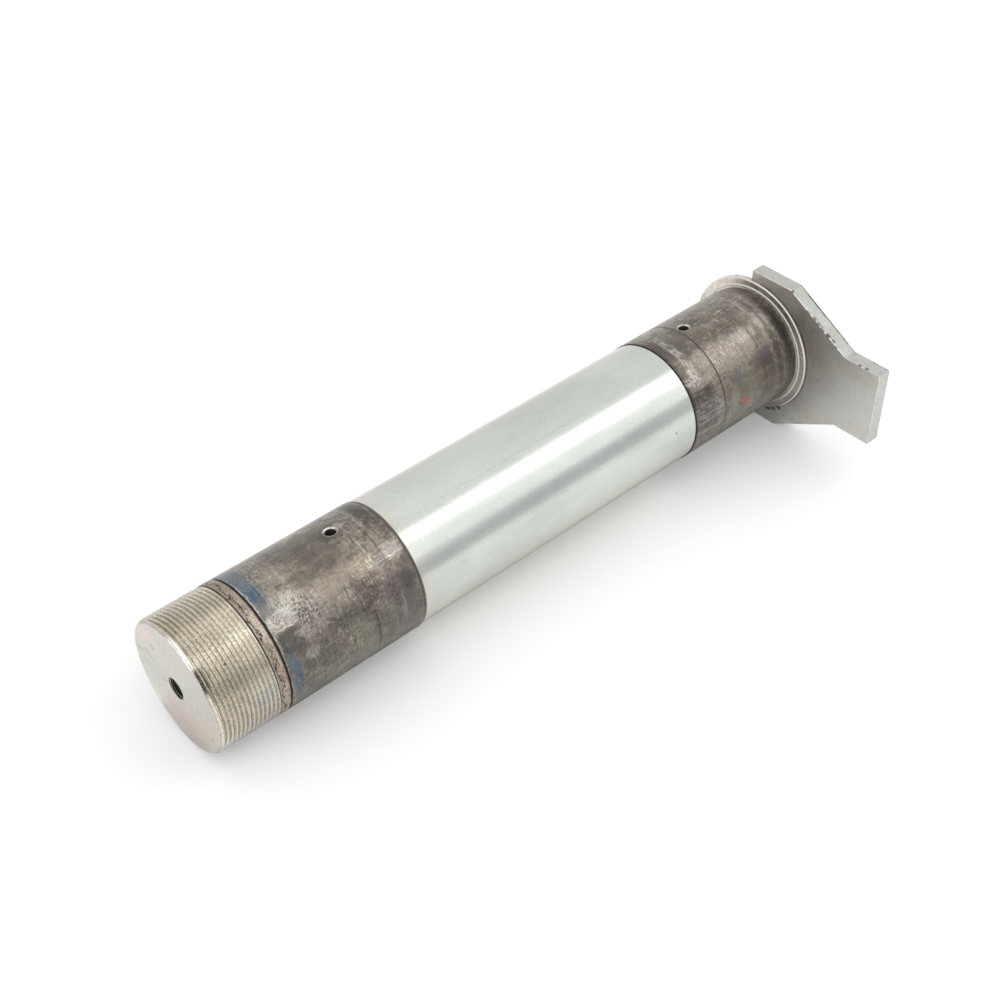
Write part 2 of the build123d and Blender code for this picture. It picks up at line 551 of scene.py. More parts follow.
class BarRecipe(Recipe):
    """A recipe that knows the bar: distance along it, angle round it and its marks."""

    def __init__(self, name: str, metallic: float = 1.0) -> None:
        """Starts a material and works out the bar's own coordinates.

        Args:
            name: The material's name.
            metallic: The shader's metallic value.
        """
        super().__init__(name, metallic)
        split = self.node("ShaderNodeSeparateXYZ")
        self.feed(split.inputs[0], self.place)
        along, across, up = split.outputs
        self.along = self.math("MULTIPLY_ADD", along, 1 / MM, -bar_low.x / MM)
        square = self.math("MULTIPLY_ADD", up, up, self.math("MULTIPLY", across, across))
        self.radius = self.math("MULTIPLY", self.math("SQRT", square), 1 / MM)
        down, aside = (self.math("MULTIPLY", side, -1.0) for side in (up, across))
        around = self.math("ARCTAN2", down, aside)
        self.around = self.math("MULTIPLY", around, math.degrees(1.0))
        self.in_sight = self.fade(self.math("ABSOLUTE", self.around), *OUT_OF_SIGHT, 1.0, 0.0)
        spot = self.node("ShaderNodeCombineXYZ")
        self.feed(spot.inputs[0], self.along)
        self.feed(spot.inputs[1], self.around)
        self.spot = spot.outputs[0]
        self.flat = self.node("ShaderNodeCombineXYZ")
        self.feed(self.flat.inputs[0], self.math("MULTIPLY", across, 1 / MM))
        self.feed(self.flat.inputs[1], self.math("MULTIPLY", up, 1 / MM))
        self.wobble(*BAR_WOBBLE)
        self.ragged = self.noise(420.0, detail=4.0, rough=0.65, shift=3.0)
        thin = self.noise(260.0, detail=4.0, rough=0.7, shift=29.0)
        self.cover = self.fade(thin, 0.3, 0.6, 0.7, 1.0)
        self.grains: dict[Grain, Socket] = {}

    def lie_flat(self) -> None:
        """Places the marks by Y and Z in millimetres, as on the faces across the bar."""
        self.spot = self.flat.outputs[0]
        self.wobble(*FLAT_WOBBLE)

    def towards(self, start: float, end: float) -> Socket:
        """Gives how far the angle has gone from start to end, and 0 again behind the bar."""
        return self.math("MULTIPLY", self.fade(self.around, start, end), self.in_sight)

    def level(self, start: float, end: float, level: float) -> Socket:
        """Gives 1 up to the angle start and a level from the angle end on, and 1 behind the bar."""
        return self.math("MULTIPLY_ADD", self.towards(start, end), level - 1, 1.0)

    def wobble(self, first: float, second: float) -> None:
        """Makes the outlines of the marks wander a little.

        Args:
            first: How far they wander in the first coordinate.
            second: How far they wander in the second one.
        """
        wander = self.texture(330.0, detail=2.0, shift=41.0).outputs["Color"]
        centred = self.vector("ADD", self.spot, (-first / 2, -second / 2, 0.0)).outputs[0]
        self.wobbled = self.vector("MULTIPLY_ADD", wander, (first, second, 0.0), centred).outputs[0]

    def grain(self, kind: Grain) -> Socket:
        """Gives the pattern that breaks up a mark, laid once for each kind.

        Args:
            kind: The kind of grain.

        Returns:
            A mask from 0 to 1.
        """
        if kind not in self.grains:
            if kind is Grain.SPECKLED:
                pattern = self.noise(1100.0, detail=3.0, rough=0.6, shift=11.0)
            elif kind is Grain.LENGTHWISE:
                pattern = self.noise((160.0, 2400.0, 2400.0), detail=2.0, shift=17.0)
            elif kind is Grain.AROUND:
                pattern = self.noise((1900.0, 330.0, 330.0), detail=3.0, shift=23.0)
            else:
                pattern = self.slanted_noise(slant=35.0, across=2.6, along=0.45)
            self.grains[kind] = self.fade(pattern, 0.44, 0.58)
        return self.grains[kind]

    def slanted_noise(self, slant: float, across: float, along: float) -> Socket:
        """Lays noise in streaks that cross the bar's surface at a slant.

        Args:
            slant: The angle from the bar's length, in degrees.
            across: Cells for each millimetre across a streak.
            along: Cells for each millimetre along it.

        Returns:
            A value that stays near 0.5.
        """
        turned = self.node("ShaderNodeVectorRotate", rotation_type="Z_AXIS")
        arc = self.vector("MULTIPLY", self.spot, (1.0, MM_A_DEGREE, 0.0))
        self.feed(turned.inputs["Vector"], arc.outputs[0])
        turned.inputs["Angle"].default_value = math.radians(slant)
        stretched = self.vector("MULTIPLY", turned.outputs[0], (along, across, 0.0))
        made = self.node("ShaderNodeTexNoise")
        self.feed(made.inputs["Vector"], stretched.outputs[0])
        made.inputs["Scale"].default_value = 1.0
        return made.outputs["Fac"]

    def mask(self, mark: Mark) -> Socket:
        """Works out where a mark shows.

        Args:
            mark: The mark.

        Returns:
            Its mask, from 0 to the mark's strength.
        """
        size = (1 / mark.half_x, 1 / mark.half_angle, 0.0)
        centre = (-mark.x / mark.half_x, -mark.angle / mark.half_angle, 0.0)
        spot = self.spot if mark.ring > 0 or mark.square else self.wobbled
        offset = self.vector("MULTIPLY_ADD", spot, size, centre).outputs[0]
        if mark.square:
            squared = self.vector("MULTIPLY", offset, offset).outputs[0]
            length = self.math("SQRT", self.vector("LENGTH", squared).outputs["Value"])
        else:
            length = self.vector("LENGTH", offset).outputs["Value"]
        uneven = self.math("MULTIPLY_ADD", self.ragged, 2 * mark.ragged, -mark.ragged)
        if mark.ring > 0:
            length = self.math("ABSOLUTE", self.math("SUBTRACT", length, 1.0))
            length = self.math("DIVIDE", length, mark.ring)
        distance = self.math("ADD", length, uneven)
        shown = self.fade(distance, 1 - mark.edge, 1 + mark.edge, mark.strength, 0.0)
        if mark.grain is Grain.PLAIN:
            return self.math("MULTIPLY", shown, self.cover)
        return self.math("MULTIPLY", shown, self.grain(mark.grain))

    def lay(self, colour: Socket, marks: Sequence[Mark]) -> Socket:
        """Lays marks over a colour, one after another.

        Args:
            colour: The colour underneath.
            marks: The marks, the lowest first.

        Returns:
            The marked colour.
        """
        for mark in marks:
            colour = self.mix(self.mask(mark), colour, mark.colour)
        return colour


# Finishes


@dataclass(frozen=True)
class ZincFinish:
    """Bright passivated zinc: greenish in the middle, pinkish on top and yellowish below. The lower
    tone is also darker, as painted shade, and on the thread the top tone is darker too, as painted
    shade.
    """

    name: str = "zinc_plating"
    base: Colour = (0.605, 0.635, 0.6)
    upper_tint_and_shade: Colour = (0.69, 0.64, 0.605)
    lower_tint_and_shade: Colour = (0.58, 0.555, 0.48)
    roughness: float = 0.2
    cloud: float = 0.06
    fleck: float = 0.03
    turning_depth: float = 0.0012 * MM
    groove_shade: float = 0.0
    upper_start: float = -104.0
    upper_end: float = -126.0
    lower_span: Pair = (0.0, 34.0)
    crest_radii: Pair = (28.9, 29.8)
    smoother_by: float = 0.03
    roughness_span: float = 0.07
    marks: tuple[Mark, ...] = ()

    def material(self) -> bpy.types.Material:
        """Makes the material."""
        recipe = BarRecipe(self.name)
        # Tones by angle round the bar: the lower tone paints shade under the bar, and on the thread
        # the top tone paints shade on its top.
        upper = recipe.towards(self.upper_start, self.upper_end)
        lower = recipe.towards(*self.lower_span)
        colour = recipe.mix(upper, self.base, self.upper_tint_and_shade)
        colour = recipe.mix(lower, colour, self.lower_tint_and_shade)
        colour = recipe.lay(colour, self.marks)
        clouds = recipe.noise((28.0, 60.0, 60.0), detail=3.0, shift=5.0)
        flecks = recipe.noise(1300.0, detail=3.0, rough=0.6, shift=7.0)
        cloudy = recipe.fade(clouds, 0.3, 0.7, 1 - self.cloud, 1 + self.cloud)
        flecked = recipe.fade(flecks, 0.36, 0.64, 1 - self.fleck, 1 + self.fleck)
        # Painted shade in the thread's grooves and a painted highlight on its crests, set by the
        # radius; groove_shade sets how strong.
        dimmest, brightest = 1 - self.groove_shade, 1 + self.groove_shade / 2
        lit_crest = recipe.fade(recipe.radius, *self.crest_radii, dimmest, brightest)
        recipe.set("Base Color", recipe.shade(colour, recipe.product(cloudy, flecked, lit_crest)))
        turning = recipe.noise((5200.0, 40.0, 40.0), detail=2.0, shift=9.0)
        smoothest = self.roughness - self.smoother_by
        roughest = smoothest + self.roughness_span
        recipe.set("Roughness", recipe.fade(turning, 0.3, 0.7, smoothest, roughest))
        recipe.bump(turning, self.turning_depth)
        return recipe.material


@dataclass(frozen=True)
class BearingFinish:
    """Bare hardened steel: warm grey-brown and mottled, with grinding lines and worn places."""

    name: str
    base: Colour = (0.203, 0.17, 0.137)
    olive: Colour = (0.19, 0.172, 0.13)
    dark: Colour = (0.11, 0.09, 0.075)
    pale: Colour = (0.318, 0.28, 0.23)
    metallic: float = 0.9
    roughness: float = 0.42
    film: float = 0.6
    film_roughness: float = 0.32
    calm: float = 0.3
    # below and lowest darken the underside as painted shade; the factor for the top lightens it as
    # painted sheen.
    below: float = 0.8
    lowest: float = 0.74
    top_sheen: float = 1.25
    underside_shade_span: Pair = (-32.0, -14.0)
    lowest_shade_span: Pair = (14.0, 34.0)
    top_sheen_span: Pair = (-112.0, -128.0)
    film_span: Pair = (4.0, 30.0)
    film_below: float = 0.2
    roughness_span: float = 0.24
    bump_depth: float = 0.012 * MM
    marks: tuple[Mark, ...] = ()

    def material(self) -> bpy.types.Material:
        """Makes the material."""
        recipe = BarRecipe(self.name, metallic=self.metallic)
        broad = recipe.noise(55.0, detail=5.0, rough=0.65, shift=1.0, warp=0.4)
        fine = recipe.noise(1500.0, detail=4.0, rough=0.7, shift=2.0)
        patchy = recipe.noise((190.0, 330.0, 330.0), detail=4.0, rough=0.7, shift=35.0, warp=0.5)
        pits = recipe.noise(1250.0, detail=2.0, rough=0.5, shift=21.0)
        lines = recipe.noise((2400.0, 70.0, 70.0), detail=3.0, shift=4.0)
        short = recipe.noise((1500.0, 420.0, 420.0), detail=3.0, rough=0.6, shift=27.0)
        scratches = recipe.noise((300.0, 2600.0, 2600.0), detail=2.0, shift=6.0)
        hue = recipe.noise(60.0, detail=3.0, shift=43.0)
        colour = recipe.mix(recipe.fade(hue, 0.44, 0.56), self.base, self.olive)
        colour = recipe.mix(recipe.fade(broad, 0.55, 0.34, 0.0, 0.9), colour, self.dark)
        colour = recipe.mix(recipe.fade(broad, 0.52, 0.64, 0.0, 0.6), colour, self.pale)
        colour = recipe.mix(recipe.fade(patchy, 0.47, 0.41, 0.0, 0.65), colour, self.dark)
        colour = recipe.mix(recipe.fade(patchy, 0.54, 0.61, 0.0, 0.55), colour, self.pale)
        colour = recipe.lay(colour, self.marks)
        detail = recipe.product(
            recipe.fade(fine, 0.3, 0.7, 0.78, 1.24),
            recipe.fade(pits, 0.6, 0.68, 1.0, 0.5),
            recipe.fade(lines, 0.36, 0.64, 0.8, 1.22),
            recipe.fade(short, 0.4, 0.64, 0.84, 1.26),
            recipe.fade(scratches, 0.56, 0.66, 1.0, 1.6),
        )
        worked = recipe.fade(recipe.noise(42.0, detail=3.0, shift=47.0), 0.42, 0.62, self.calm, 1.0)
        detail = recipe.math("MULTIPLY_ADD", worked, recipe.math("SUBTRACT", detail, 1.0), 1.0)
        # Painted shade towards the underside and painted sheen on top, by the angle round the bar.
        lower = recipe.level(*self.underside_shade_span, self.below)
        below = recipe.product(lower, recipe.level(*self.lowest_shade_span, self.lowest))
        top_sheen = recipe.level(*self.top_sheen_span, self.top_sheen)
        recipe.set("Base Color", recipe.shade(colour, recipe.product(detail, below, top_sheen)))
        film = recipe.level(*self.film_span, self.film_below)
        recipe.set("Coat Weight", recipe.math("MULTIPLY", film, self.film))
        recipe.set("Coat Roughness", self.film_roughness)
        smoothest = self.roughness - self.roughness_span / 2
        recipe.set("Roughness", recipe.math("MULTIPLY_ADD", fine, self.roughness_span, smoothest))
        height = recipe.math("MULTIPLY_ADD", lines, 0.5, recipe.math("MULTIPLY", fine, 0.5))
        recipe.bump(height, self.bump_depth)
        return recipe.material


@dataclass(frozen=True)
class BandFinish:
    """The raw band behind the thread: pinkish beige with brown stains and a wandering dark line."""

    name: str = "raw_band"
    base: Colour = (0.43, 0.375, 0.31)
    stain: Colour = (0.27, 0.225, 0.18)
    wrinkle: Colour = (0.16, 0.125, 0.1)
    line: Colour = (0.075, 0.052, 0.04)
    line_place: float = 29.4
    line_wander: float = 8.0
    line_span: Pair = (0.2, 0.5)
    wrinkle_depth: float = 0.2 * MM
    marks: tuple[Mark, ...] = ()

    def material(self) -> bpy.types.Material:
        """Makes the material."""
        recipe = BarRecipe(self.name, metallic=0.8)
        stains = recipe.noise(260.0, detail=4.0, rough=0.65, shift=31.0)
        wrinkles = recipe.noise((330.0, 700.0, 700.0), detail=4.0, rough=0.65, shift=8.0, warp=0.8)
        fine = recipe.noise(1500.0, detail=3.0, shift=12.0)
        colour = recipe.mix(recipe.fade(stains, 0.52, 0.38, 0.0, 0.7), self.base, self.stain)
        colour = recipe.mix(recipe.fade(wrinkles, 0.42, 0.36, 0.0, 0.5), colour, self.wrinkle)
        colour = recipe.lay(colour, self.marks)
        wander = recipe.noise(300.0, detail=4.0, rough=0.6, shift=45.0)
        offset = recipe.math("SUBTRACT", recipe.along, self.line_place + self.line_wander / 2)
        beyond = recipe.math("MULTIPLY_ADD", wander, self.line_wander, offset)
        colour = recipe.mix(recipe.fade(beyond, 0.0, -0.3, 0.0, 0.4), colour, self.stain)
        line = recipe.fade(recipe.math("ABSOLUTE", beyond), *self.line_span, 1.0, 0.0)
        colour = recipe.mix(recipe.math("MULTIPLY", line, recipe.cover), colour, self.line)
        recipe.set("Base Color", recipe.shade(colour, recipe.fade(fine, 0.34, 0.66, 0.7, 1.25)))
        recipe.set("Roughness", 0.45)
        recipe.bump(wrinkles, self.wrinkle_depth)
        return recipe.material


@dataclass(frozen=True)
class SootFinish:
    """Dark scale at the bottom of the narrow grooves; in the outlet bores the same near black is
    painted shade.
    """

    name: str
    base: Colour = (0.035, 0.026, 0.024)
    pale_factor: float = 2.6
    scale_depth: float = 0.05 * MM
    marks: tuple[Mark, ...] = ()

    def material(self) -> bpy.types.Material:
        """Makes the material."""
        recipe = BarRecipe(self.name, metallic=0.4)
        fine = recipe.noise(900.0, detail=3.0, shift=13.0)
        pale = tuple(self.pale_factor * value for value in self.base)
        colour = recipe.mix(recipe.fade(fine, 0.45, 0.7), self.base, pale)
        recipe.set("Base Color", recipe.lay(colour, self.marks))
        recipe.set("Roughness", 0.7)
        recipe.bump(fine, self.scale_depth)
        return recipe.material


@dataclass(frozen=True)
class CutFaceFinish:
    """A flat or turned zinc face with fine scratches and faint clouds."""

    name: str
    base: Colour
    tint: Colour
    roughness: float = 0.3
    scratch: float = 0.5
    scratch_run: Triple = (900.0, 900.0, 900.0)
    scratch_shade: float = 0.72
    scratch_depth: float = 0.006 * MM
    smoother_by: float = 0.06
    roughness_span: float = 0.14
    metallic: float = 1.0
    cloud_size: float = 70.0
    fleck: float = 0.05
    spots: float = 0.0
    flat: bool = False
    marks: tuple[Mark, ...] = ()

    def material(self) -> bpy.types.Material:
        """Makes the material."""
        recipe = BarRecipe(self.name, metallic=self.metallic)
        if self.flat:
            recipe.lie_flat()
        clouds = recipe.noise(self.cloud_size, detail=4.0, shift=14.0, warp=0.6)
        colour = recipe.mix(recipe.fade(clouds, 0.38, 0.62), self.base, self.tint)
        lines = recipe.noise(self.scratch_run, detail=3.0, rough=0.6, shift=15.0)
        darker = tuple(self.scratch_shade * value for value in self.base)
        colour = recipe.mix(recipe.fade(lines, 0.42, 0.3, 0.0, self.scratch), colour, darker)
        colour = recipe.lay(colour, self.marks)
        flecks = recipe.noise(1100.0, detail=3.0, rough=0.65, shift=33.0)
        flecked = recipe.fade(flecks, 0.32, 0.68, 1 - self.fleck, 1 + self.fleck)
        blots = recipe.noise(420.0, detail=3.0, rough=0.6, shift=37.0)
        spotted = recipe.fade(blots, 0.57, 0.61, 1.0, 1 - self.spots)
        recipe.set("Base Color", recipe.shade(colour, recipe.product(flecked, spotted)))
        smoothest = self.roughness - self.smoother_by
        roughest = smoothest + self.roughness_span
        recipe.set("Roughness", recipe.fade(lines, 0.3, 0.7, smoothest, roughest))
        recipe.bump(lines, self.scratch_depth)
        return recipe.material


@dataclass(frozen=True)
class PortFinish:
    """The threaded wall of the grease port: a painted highlight on the crests over painted shade in
    the grooves.
    """

    name: str = "port_wall"
    groove: Colour = (0.06, 0.052, 0.045)
    lit_crest: Colour = (0.52, 0.48, 0.42)
    crest_radius: float = 4.6
    groove_radius: float = 4.8

    def material(self) -> bpy.types.Material:
        """Makes the material."""
        recipe = BarRecipe(self.name)
        # Painted highlight on the crests and painted shade in the grooves, by radius.
        share = recipe.fade(recipe.radius, self.crest_radius, self.groove_radius)
        recipe.set("Base Color", recipe.mix(share, self.lit_crest, self.groove))
        recipe.set("Roughness", 0.35)
        return recipe.material


@dataclass(frozen=True)
class WeldFinish:
    """Weld metal under the plating, duller in its hollows."""

    name: str = "weld_metal"
    base: Colour = (0.42, 0.41, 0.385)
    hollow: Colour = (0.13, 0.115, 0.1)
    grain_depth: float = 0.03 * MM

    def material(self) -> bpy.types.Material:
        """Makes the material."""
        recipe = Recipe(self.name)
        fine = recipe.noise(600.0, detail=4.0, rough=0.65, shift=18.0)
        colour = recipe.mix(recipe.fade(fine, 0.52, 0.38), self.base, self.hollow)
        recipe.set("Base Color", colour)
        recipe.set("Roughness", 0.38)
        recipe.bump(fine, self.grain_depth)
        return recipe.material


class Zone(Enum):
    """The stretches and faces of the bar that have a finish of their own."""

    END_FACE = 0
    THREAD = 1
    BAND = 2
    GROOVE = 3
    FRONT_BEARING = 4
    MIDDLE = 5
    REAR_BEARING = 6
    COLLAR_FACE = 7
    COLLAR_RIM = 8
    PORT = 9
    OUTLET_RIM = 10
    OUTLET_BORE = 11
    COLLAR_RING = 12
    COLLAR_EDGE = 13
    JOINT = 14


class PlateZone(Enum):
    """The kinds of face of the lock plate that have a finish of their own."""

    FLAT = 0
    SIDE = 1
    TAPER = 2
    FRONT_EDGE = 3
    FAR_EDGE = 4


Finish = Union[ZincFinish, BearingFinish, BandFinish, SootFinish, CutFaceFinish, PortFinish]


def dress(
    piece: bpy.types.Object,
    finishes: dict[Enum, Finish],
    zone_of: Callable[[Vector, Vector], Enum],
) -> None:
    """Gives every face of a piece the finish of its zone.

    Args:
        piece: The finished piece.
        finishes: The finish of each zone, in the order of the zones' values.
        zone_of: Tells a face's zone from its middle and its outward direction.
    """
    piece.data.materials.clear()
    for finish in finishes.values():
        piece.data.materials.append(finish.material())
    for face in piece.data.polygons:
        face.material_index = zone_of(face.center, face.normal).value


@dataclass
class TurnedBar:
    """The turned bar: thread, raw band, two bearings, plated middle, collar and grease ways."""

    bearing_radius: float = 30.0 * MM
    thread_radius: float = 29.9 * MM
    middle_radius: float = 29.7 * MM
    collar_radius: float = 35.0 * MM
    thread_length: float = 28.0 * MM
    band_length: float = 4.7 * MM
    front_length: float = 100.0 * MM
    middle_length: float = 162.0 * MM
    collar_thickness: float = 3.5 * MM
    seat_depth: float = 1.5 * MM
    seat_edge: float = 4.0 * MM
    collar_chamfer: float = 0.6 * MM
    end_chamfer: float = 1.3 * MM
    bearing_chamfer: float = 0.4 * MM
    groove_width: float = 0.8 * MM
    groove_depth: float = 0.9 * MM
    joint_width: float = 0.8 * MM
    joint_depth: float = 0.6 * MM
    score_distance: float = 50.4 * MM
    score_width: float = 0.5 * MM
    score_depth: float = 0.25 * MM
    relief_length: float = 5.0 * MM
    relief_ramp: float = 1.2 * MM
    relief_depth: float = 0.4 * MM
    relief_face_depth: float = 0.3 * MM
    relief_face_height: float = 0.8 * MM
    thread_pitch: float = 2.0 * MM
    thread_depth: float = 1.2 * MM
    thread_crest_flat: float = 0.25 * MM
    port_radius: float = 4.5 * MM
    port_thread_depth: float = 0.5 * MM
    port_pitch: float = 1.0 * MM
    port_depth: float = 14.0 * MM
    gallery_radius: float = 3.0 * MM
    gallery_end: float = -41.0 * MM
    drill_point: float = math.radians(59.0)
    outlet_radius: float = 2.45 * MM
    outlet_rim: float = 3.1 * MM
    outlet_places: Pair = (-252.0 * MM, -46.0 * MM)
    outlet_turn: float = math.radians(7.0)
    edge_round: float = 0.12 * MM
    ring_width: float = 1.0 * MM
    ring_inset: float = 0.4 * MM
    port_reach: float = 0.9 * MM
    sink_slack: float = 0.1 * MM
    slack: float = 0.05 * MM
    fine_slack: float = 0.02 * MM
    edge_facing: float = -0.4
    seat_spare: float = 4 * MM
    spare_turns: int = 3
    smooth_angle: float = math.radians(32)
    steps: int = 256
    port_steps: int = 72
    outlet_steps: int = 48
    end_face: float = field(default_factory=lambda: bar_low.x)

    @property
    def thread_end(self) -> float:
        """Where the thread runs out against the raw band."""
        return self.end_face + self.thread_length

    @property
    def band_end(self) -> float:
        """Where the raw band ends in its groove."""
        return self.thread_end + self.band_length

    @property
    def front_end(self) -> float:
        """Where the front bearing meets the plated middle."""
        return self.end_face + self.front_length

    @property
    def rear_start(self) -> float:
        """Where the plated middle meets the rear bearing."""
        return self.front_end + self.middle_length

    def section(self) -> list[Corner]:
        """Draws the half section of the bar from the raw band to the collar's back."""
        edge, r = self.edge_round, self.bearing_radius
        groove = r - self.groove_depth
        joint = r - self.joint_depth
        relief = r - self.relief_depth
        half = self.score_width / 2
        return [
            Corner(self.thread_end, 0),
            Corner(self.thread_end, r, edge),
            Corner(self.band_end - self.bearing_chamfer, r, edge),
            Corner(self.band_end, r - self.bearing_chamfer, edge),
            Corner(self.band_end, groove, edge),
            Corner(self.band_end + self.groove_width, groove, edge),
            Corner(self.band_end + self.groove_width, r - self.bearing_chamfer, edge),
            Corner(self.band_end + self.groove_width + self.bearing_chamfer, r, edge),
            Corner(self.front_end, r, edge),
            Corner(self.front_end, joint),
            Corner(self.front_end + self.joint_width, joint),
            Corner(self.front_end + self.joint_width, self.middle_radius, edge / 2),
            Corner(self.rear_start - self.joint_width, self.middle_radius, edge / 2),
            Corner(self.rear_start - self.joint_width, joint),
            Corner(self.rear_start, joint),
            Corner(self.rear_start, r, edge),
            Corner(-self.score_distance - half, r),
            Corner(-self.score_distance, r - self.score_depth),
            Corner(-self.score_distance + half, r),
            Corner(-self.relief_length, r, edge),
            Corner(-self.relief_length + self.relief_ramp, relief, edge),
            Corner(0, relief),
            Corner(self.relief_face_depth, relief + self.relief_face_depth),
            Corner(self.relief_face_depth, r + self.relief_face_height - self.relief_face_depth),
            Corner(0, r + self.relief_face_height, edge / 2),
            Corner(0, r + self.relief_face_height + self.ring_width),
            Corner(0, self.collar_radius - self.collar_chamfer, edge),
            Corner(self.collar_chamfer, self.collar_radius, edge),
            Corner(self.collar_thickness - self.collar_chamfer, self.collar_radius, edge),
            Corner(self.collar_thickness, self.collar_radius - self.collar_chamfer, edge),
            Corner(self.collar_thickness, 0),
        ]

    def threaded_end(self) -> bpy.types.Object:
        """Makes the threaded end, chamfered at its face, long enough to be joined to the band."""
        joined = self.thread_end + self.band_length / 4
        end = turn(
            "threaded_end",
            [
                Corner(self.end_face, 0),
                Corner(self.end_face, self.thread_radius - self.end_chamfer, self.edge_round),
                Corner(self.end_face + self.end_chamfer, self.thread_radius),
                Corner(joined, self.thread_radius),
                Corner(joined, 0),
            ],
            self.steps,
        )
        groove = HelicalGroove(
            start=self.end_face - self.thread_pitch,
            turns=math.ceil(self.thread_length / self.thread_pitch) + self.spare_turns,
            radius=self.thread_radius,
            depth=self.thread_depth,
            pitch=self.thread_pitch,
            crest_flat=self.thread_crest_flat,
            steps=self.steps,
        )
        combine(end, groove.tool("groove_tool"), "DIFFERENCE")
        return end

    def port_thread_tool(self) -> bpy.types.Object:
        """Makes the tool that cuts the thread in the wall of the grease port."""
        return HelicalGroove(
            start=self.end_face - self.port_pitch,
            turns=math.floor(self.port_depth / self.port_pitch),
            radius=self.port_radius,
            depth=-self.port_thread_depth,
            pitch=self.port_pitch,
            crest_flat=self.port_pitch / 4,
            steps=self.port_steps,
        ).tool("port_thread_tool")

    def gallery_tool(self) -> bpy.types.Object:
        """Makes the tool that cuts the port's mouth and the gallery behind it."""
        slope = math.tan(self.drill_point)
        mouth = self.port_radius + self.port_thread_depth
        bottom = self.end_face + self.port_depth
        return turn(
            "gallery_tool",
            [
                Corner(self.end_face - MM, 0),
                Corner(self.end_face - MM, mouth + MM),
                Corner(self.end_face + self.port_thread_depth, self.port_radius),
                Corner(bottom, self.port_radius),
                Corner(
                    bottom + (self.port_radius - self.gallery_radius) / slope,
                    self.gallery_radius,
                ),
                Corner(self.gallery_end, self.gallery_radius),
                Corner(self.gallery_end + self.gallery_radius / slope, 0),
            ],
            self.port_steps,
        )

    def outlet_tool(self, place: float) -> bpy.types.Object:
        """Makes the tool that drills and countersinks one outlet.

        Args:
            place: The outlet's place along X.

        Returns:
            The tool, standing in the bar.
        """
        mouth = self.bearing_radius
        sink = mouth - (self.outlet_rim - self.outlet_radius)
        tool = turn(
            "outlet_tool",
            [
                Corner(0, 0),
                Corner(0, self.outlet_radius),
                Corner(sink, self.outlet_radius, self.edge_round),
                Corner(mouth + MM, self.outlet_rim + MM),
                Corner(mouth + MM, 0),
            ],
            self.outlet_steps,
        )
        pick(tool)
        tool.matrix_world = self.outlet_matrix(place)
        bpy.ops.object.transform_apply(location=True, rotation=True, scale=True)
        return tool

    def outlet_matrix(self, place: float) -> Matrix:
        """Gives the outlet's frame: its own X runs out of the bar, from the bar's axis.

        Args:
            place: The outlet's place along X.

        Returns:
            The frame as a matrix.
        """
        lift = Matrix.Rotation(-math.pi / 2, 4, "Y")
        return Matrix.Translation((place, 0, 0)) @ Matrix.Rotation(-self.outlet_turn, 4, "X") @ lift

    def seat_tool(self) -> bpy.types.Object:
        """Makes the tool that mills the seat of the lock plate across the collar."""
        reach = 2 * self.collar_radius + self.seat_spare
        deselect_all()
        centre = (self.seat_depth + reach / 2, self.seat_edge - reach / 2, 0)
        bpy.ops.mesh.primitive_cube_add(size=reach, location=centre)
        return new_piece("seat_tool")

    def stretches(self) -> tuple[tuple[float, Zone], ...]:
        """Gives where each stretch of the bar ends along X, with its zone, in order."""
        return (
            (self.end_face + self.fine_slack, Zone.END_FACE),
            (self.thread_end - SAME_PLACE, Zone.THREAD),
            (self.band_end - SAME_PLACE, Zone.BAND),
            (self.band_end + self.groove_width, Zone.GROOVE),
            (self.front_end, Zone.FRONT_BEARING),
            (self.front_end + self.joint_width - SAME_PLACE, Zone.JOINT),
            (self.rear_start - self.joint_width, Zone.MIDDLE),
            (self.rear_start - SAME_PLACE, Zone.JOINT),
            (-SAME_PLACE, Zone.REAR_BEARING),
        )

    def zone_of(self, centre: Vector, normal: Vector) -> Zone:
        """Tells which finish a face of the bar has.

        Args:
            centre: The middle of the face.
            normal: The face's outward direction.

        Returns:
            The zone.
        """
        radius = math.hypot(centre.y, centre.z)
        if radius < self.port_radius + self.port_reach and centre.x > self.end_face + self.slack:
            return Zone.PORT
        sink = self.bearing_radius - (self.outlet_rim - self.outlet_radius) - self.sink_slack
        for place in self.outlet_places:
            local = self.outlet_matrix(place).inverted() @ centre
            aside = math.hypot(local.y, local.z)
            if local.x > 0 and aside < self.outlet_rim - self.fine_slack:
                return Zone.OUTLET_RIM if local.x > sink else Zone.OUTLET_BORE
        for end, zone in self.stretches():
            if centre.x < end:
                return zone
        face_end = self.relief_face_depth + self.slack
        if centre.x < face_end and radius < self.collar_radius - self.collar_chamfer:
            ring_end = self.bearing_radius + self.relief_face_height + self.ring_width
            ringed = self.bearing_radius + self.ring_inset < radius < ring_end
            return Zone.COLLAR_RING if ringed else Zone.COLLAR_FACE
        return Zone.COLLAR_EDGE if normal.x < self.edge_facing else Zone.COLLAR_RIM

    def build(self) -> bpy.types.Object:
        """Makes and dresses the bar.

        Returns:
            The finished bar.
        """
        bar = turn("turned_bar", self.section(), self.steps)
        combine(bar, self.threaded_end(), "UNION")
        combine(bar, self.gallery_tool(), "DIFFERENCE")
        combine(bar, self.port_thread_tool(), "DIFFERENCE")
        for place in self.outlet_places:
            combine(bar, self.outlet_tool(place), "DIFFERENCE")
        combine(bar, self.seat_tool(), "DIFFERENCE")
        close_mesh(bar)
        smooth(bar, self.smooth_angle)
        dress(bar, BAR_FINISHES, self.zone_of)
        finish_piece(bar, "bar_steel", "pin_shaft")
        return bar


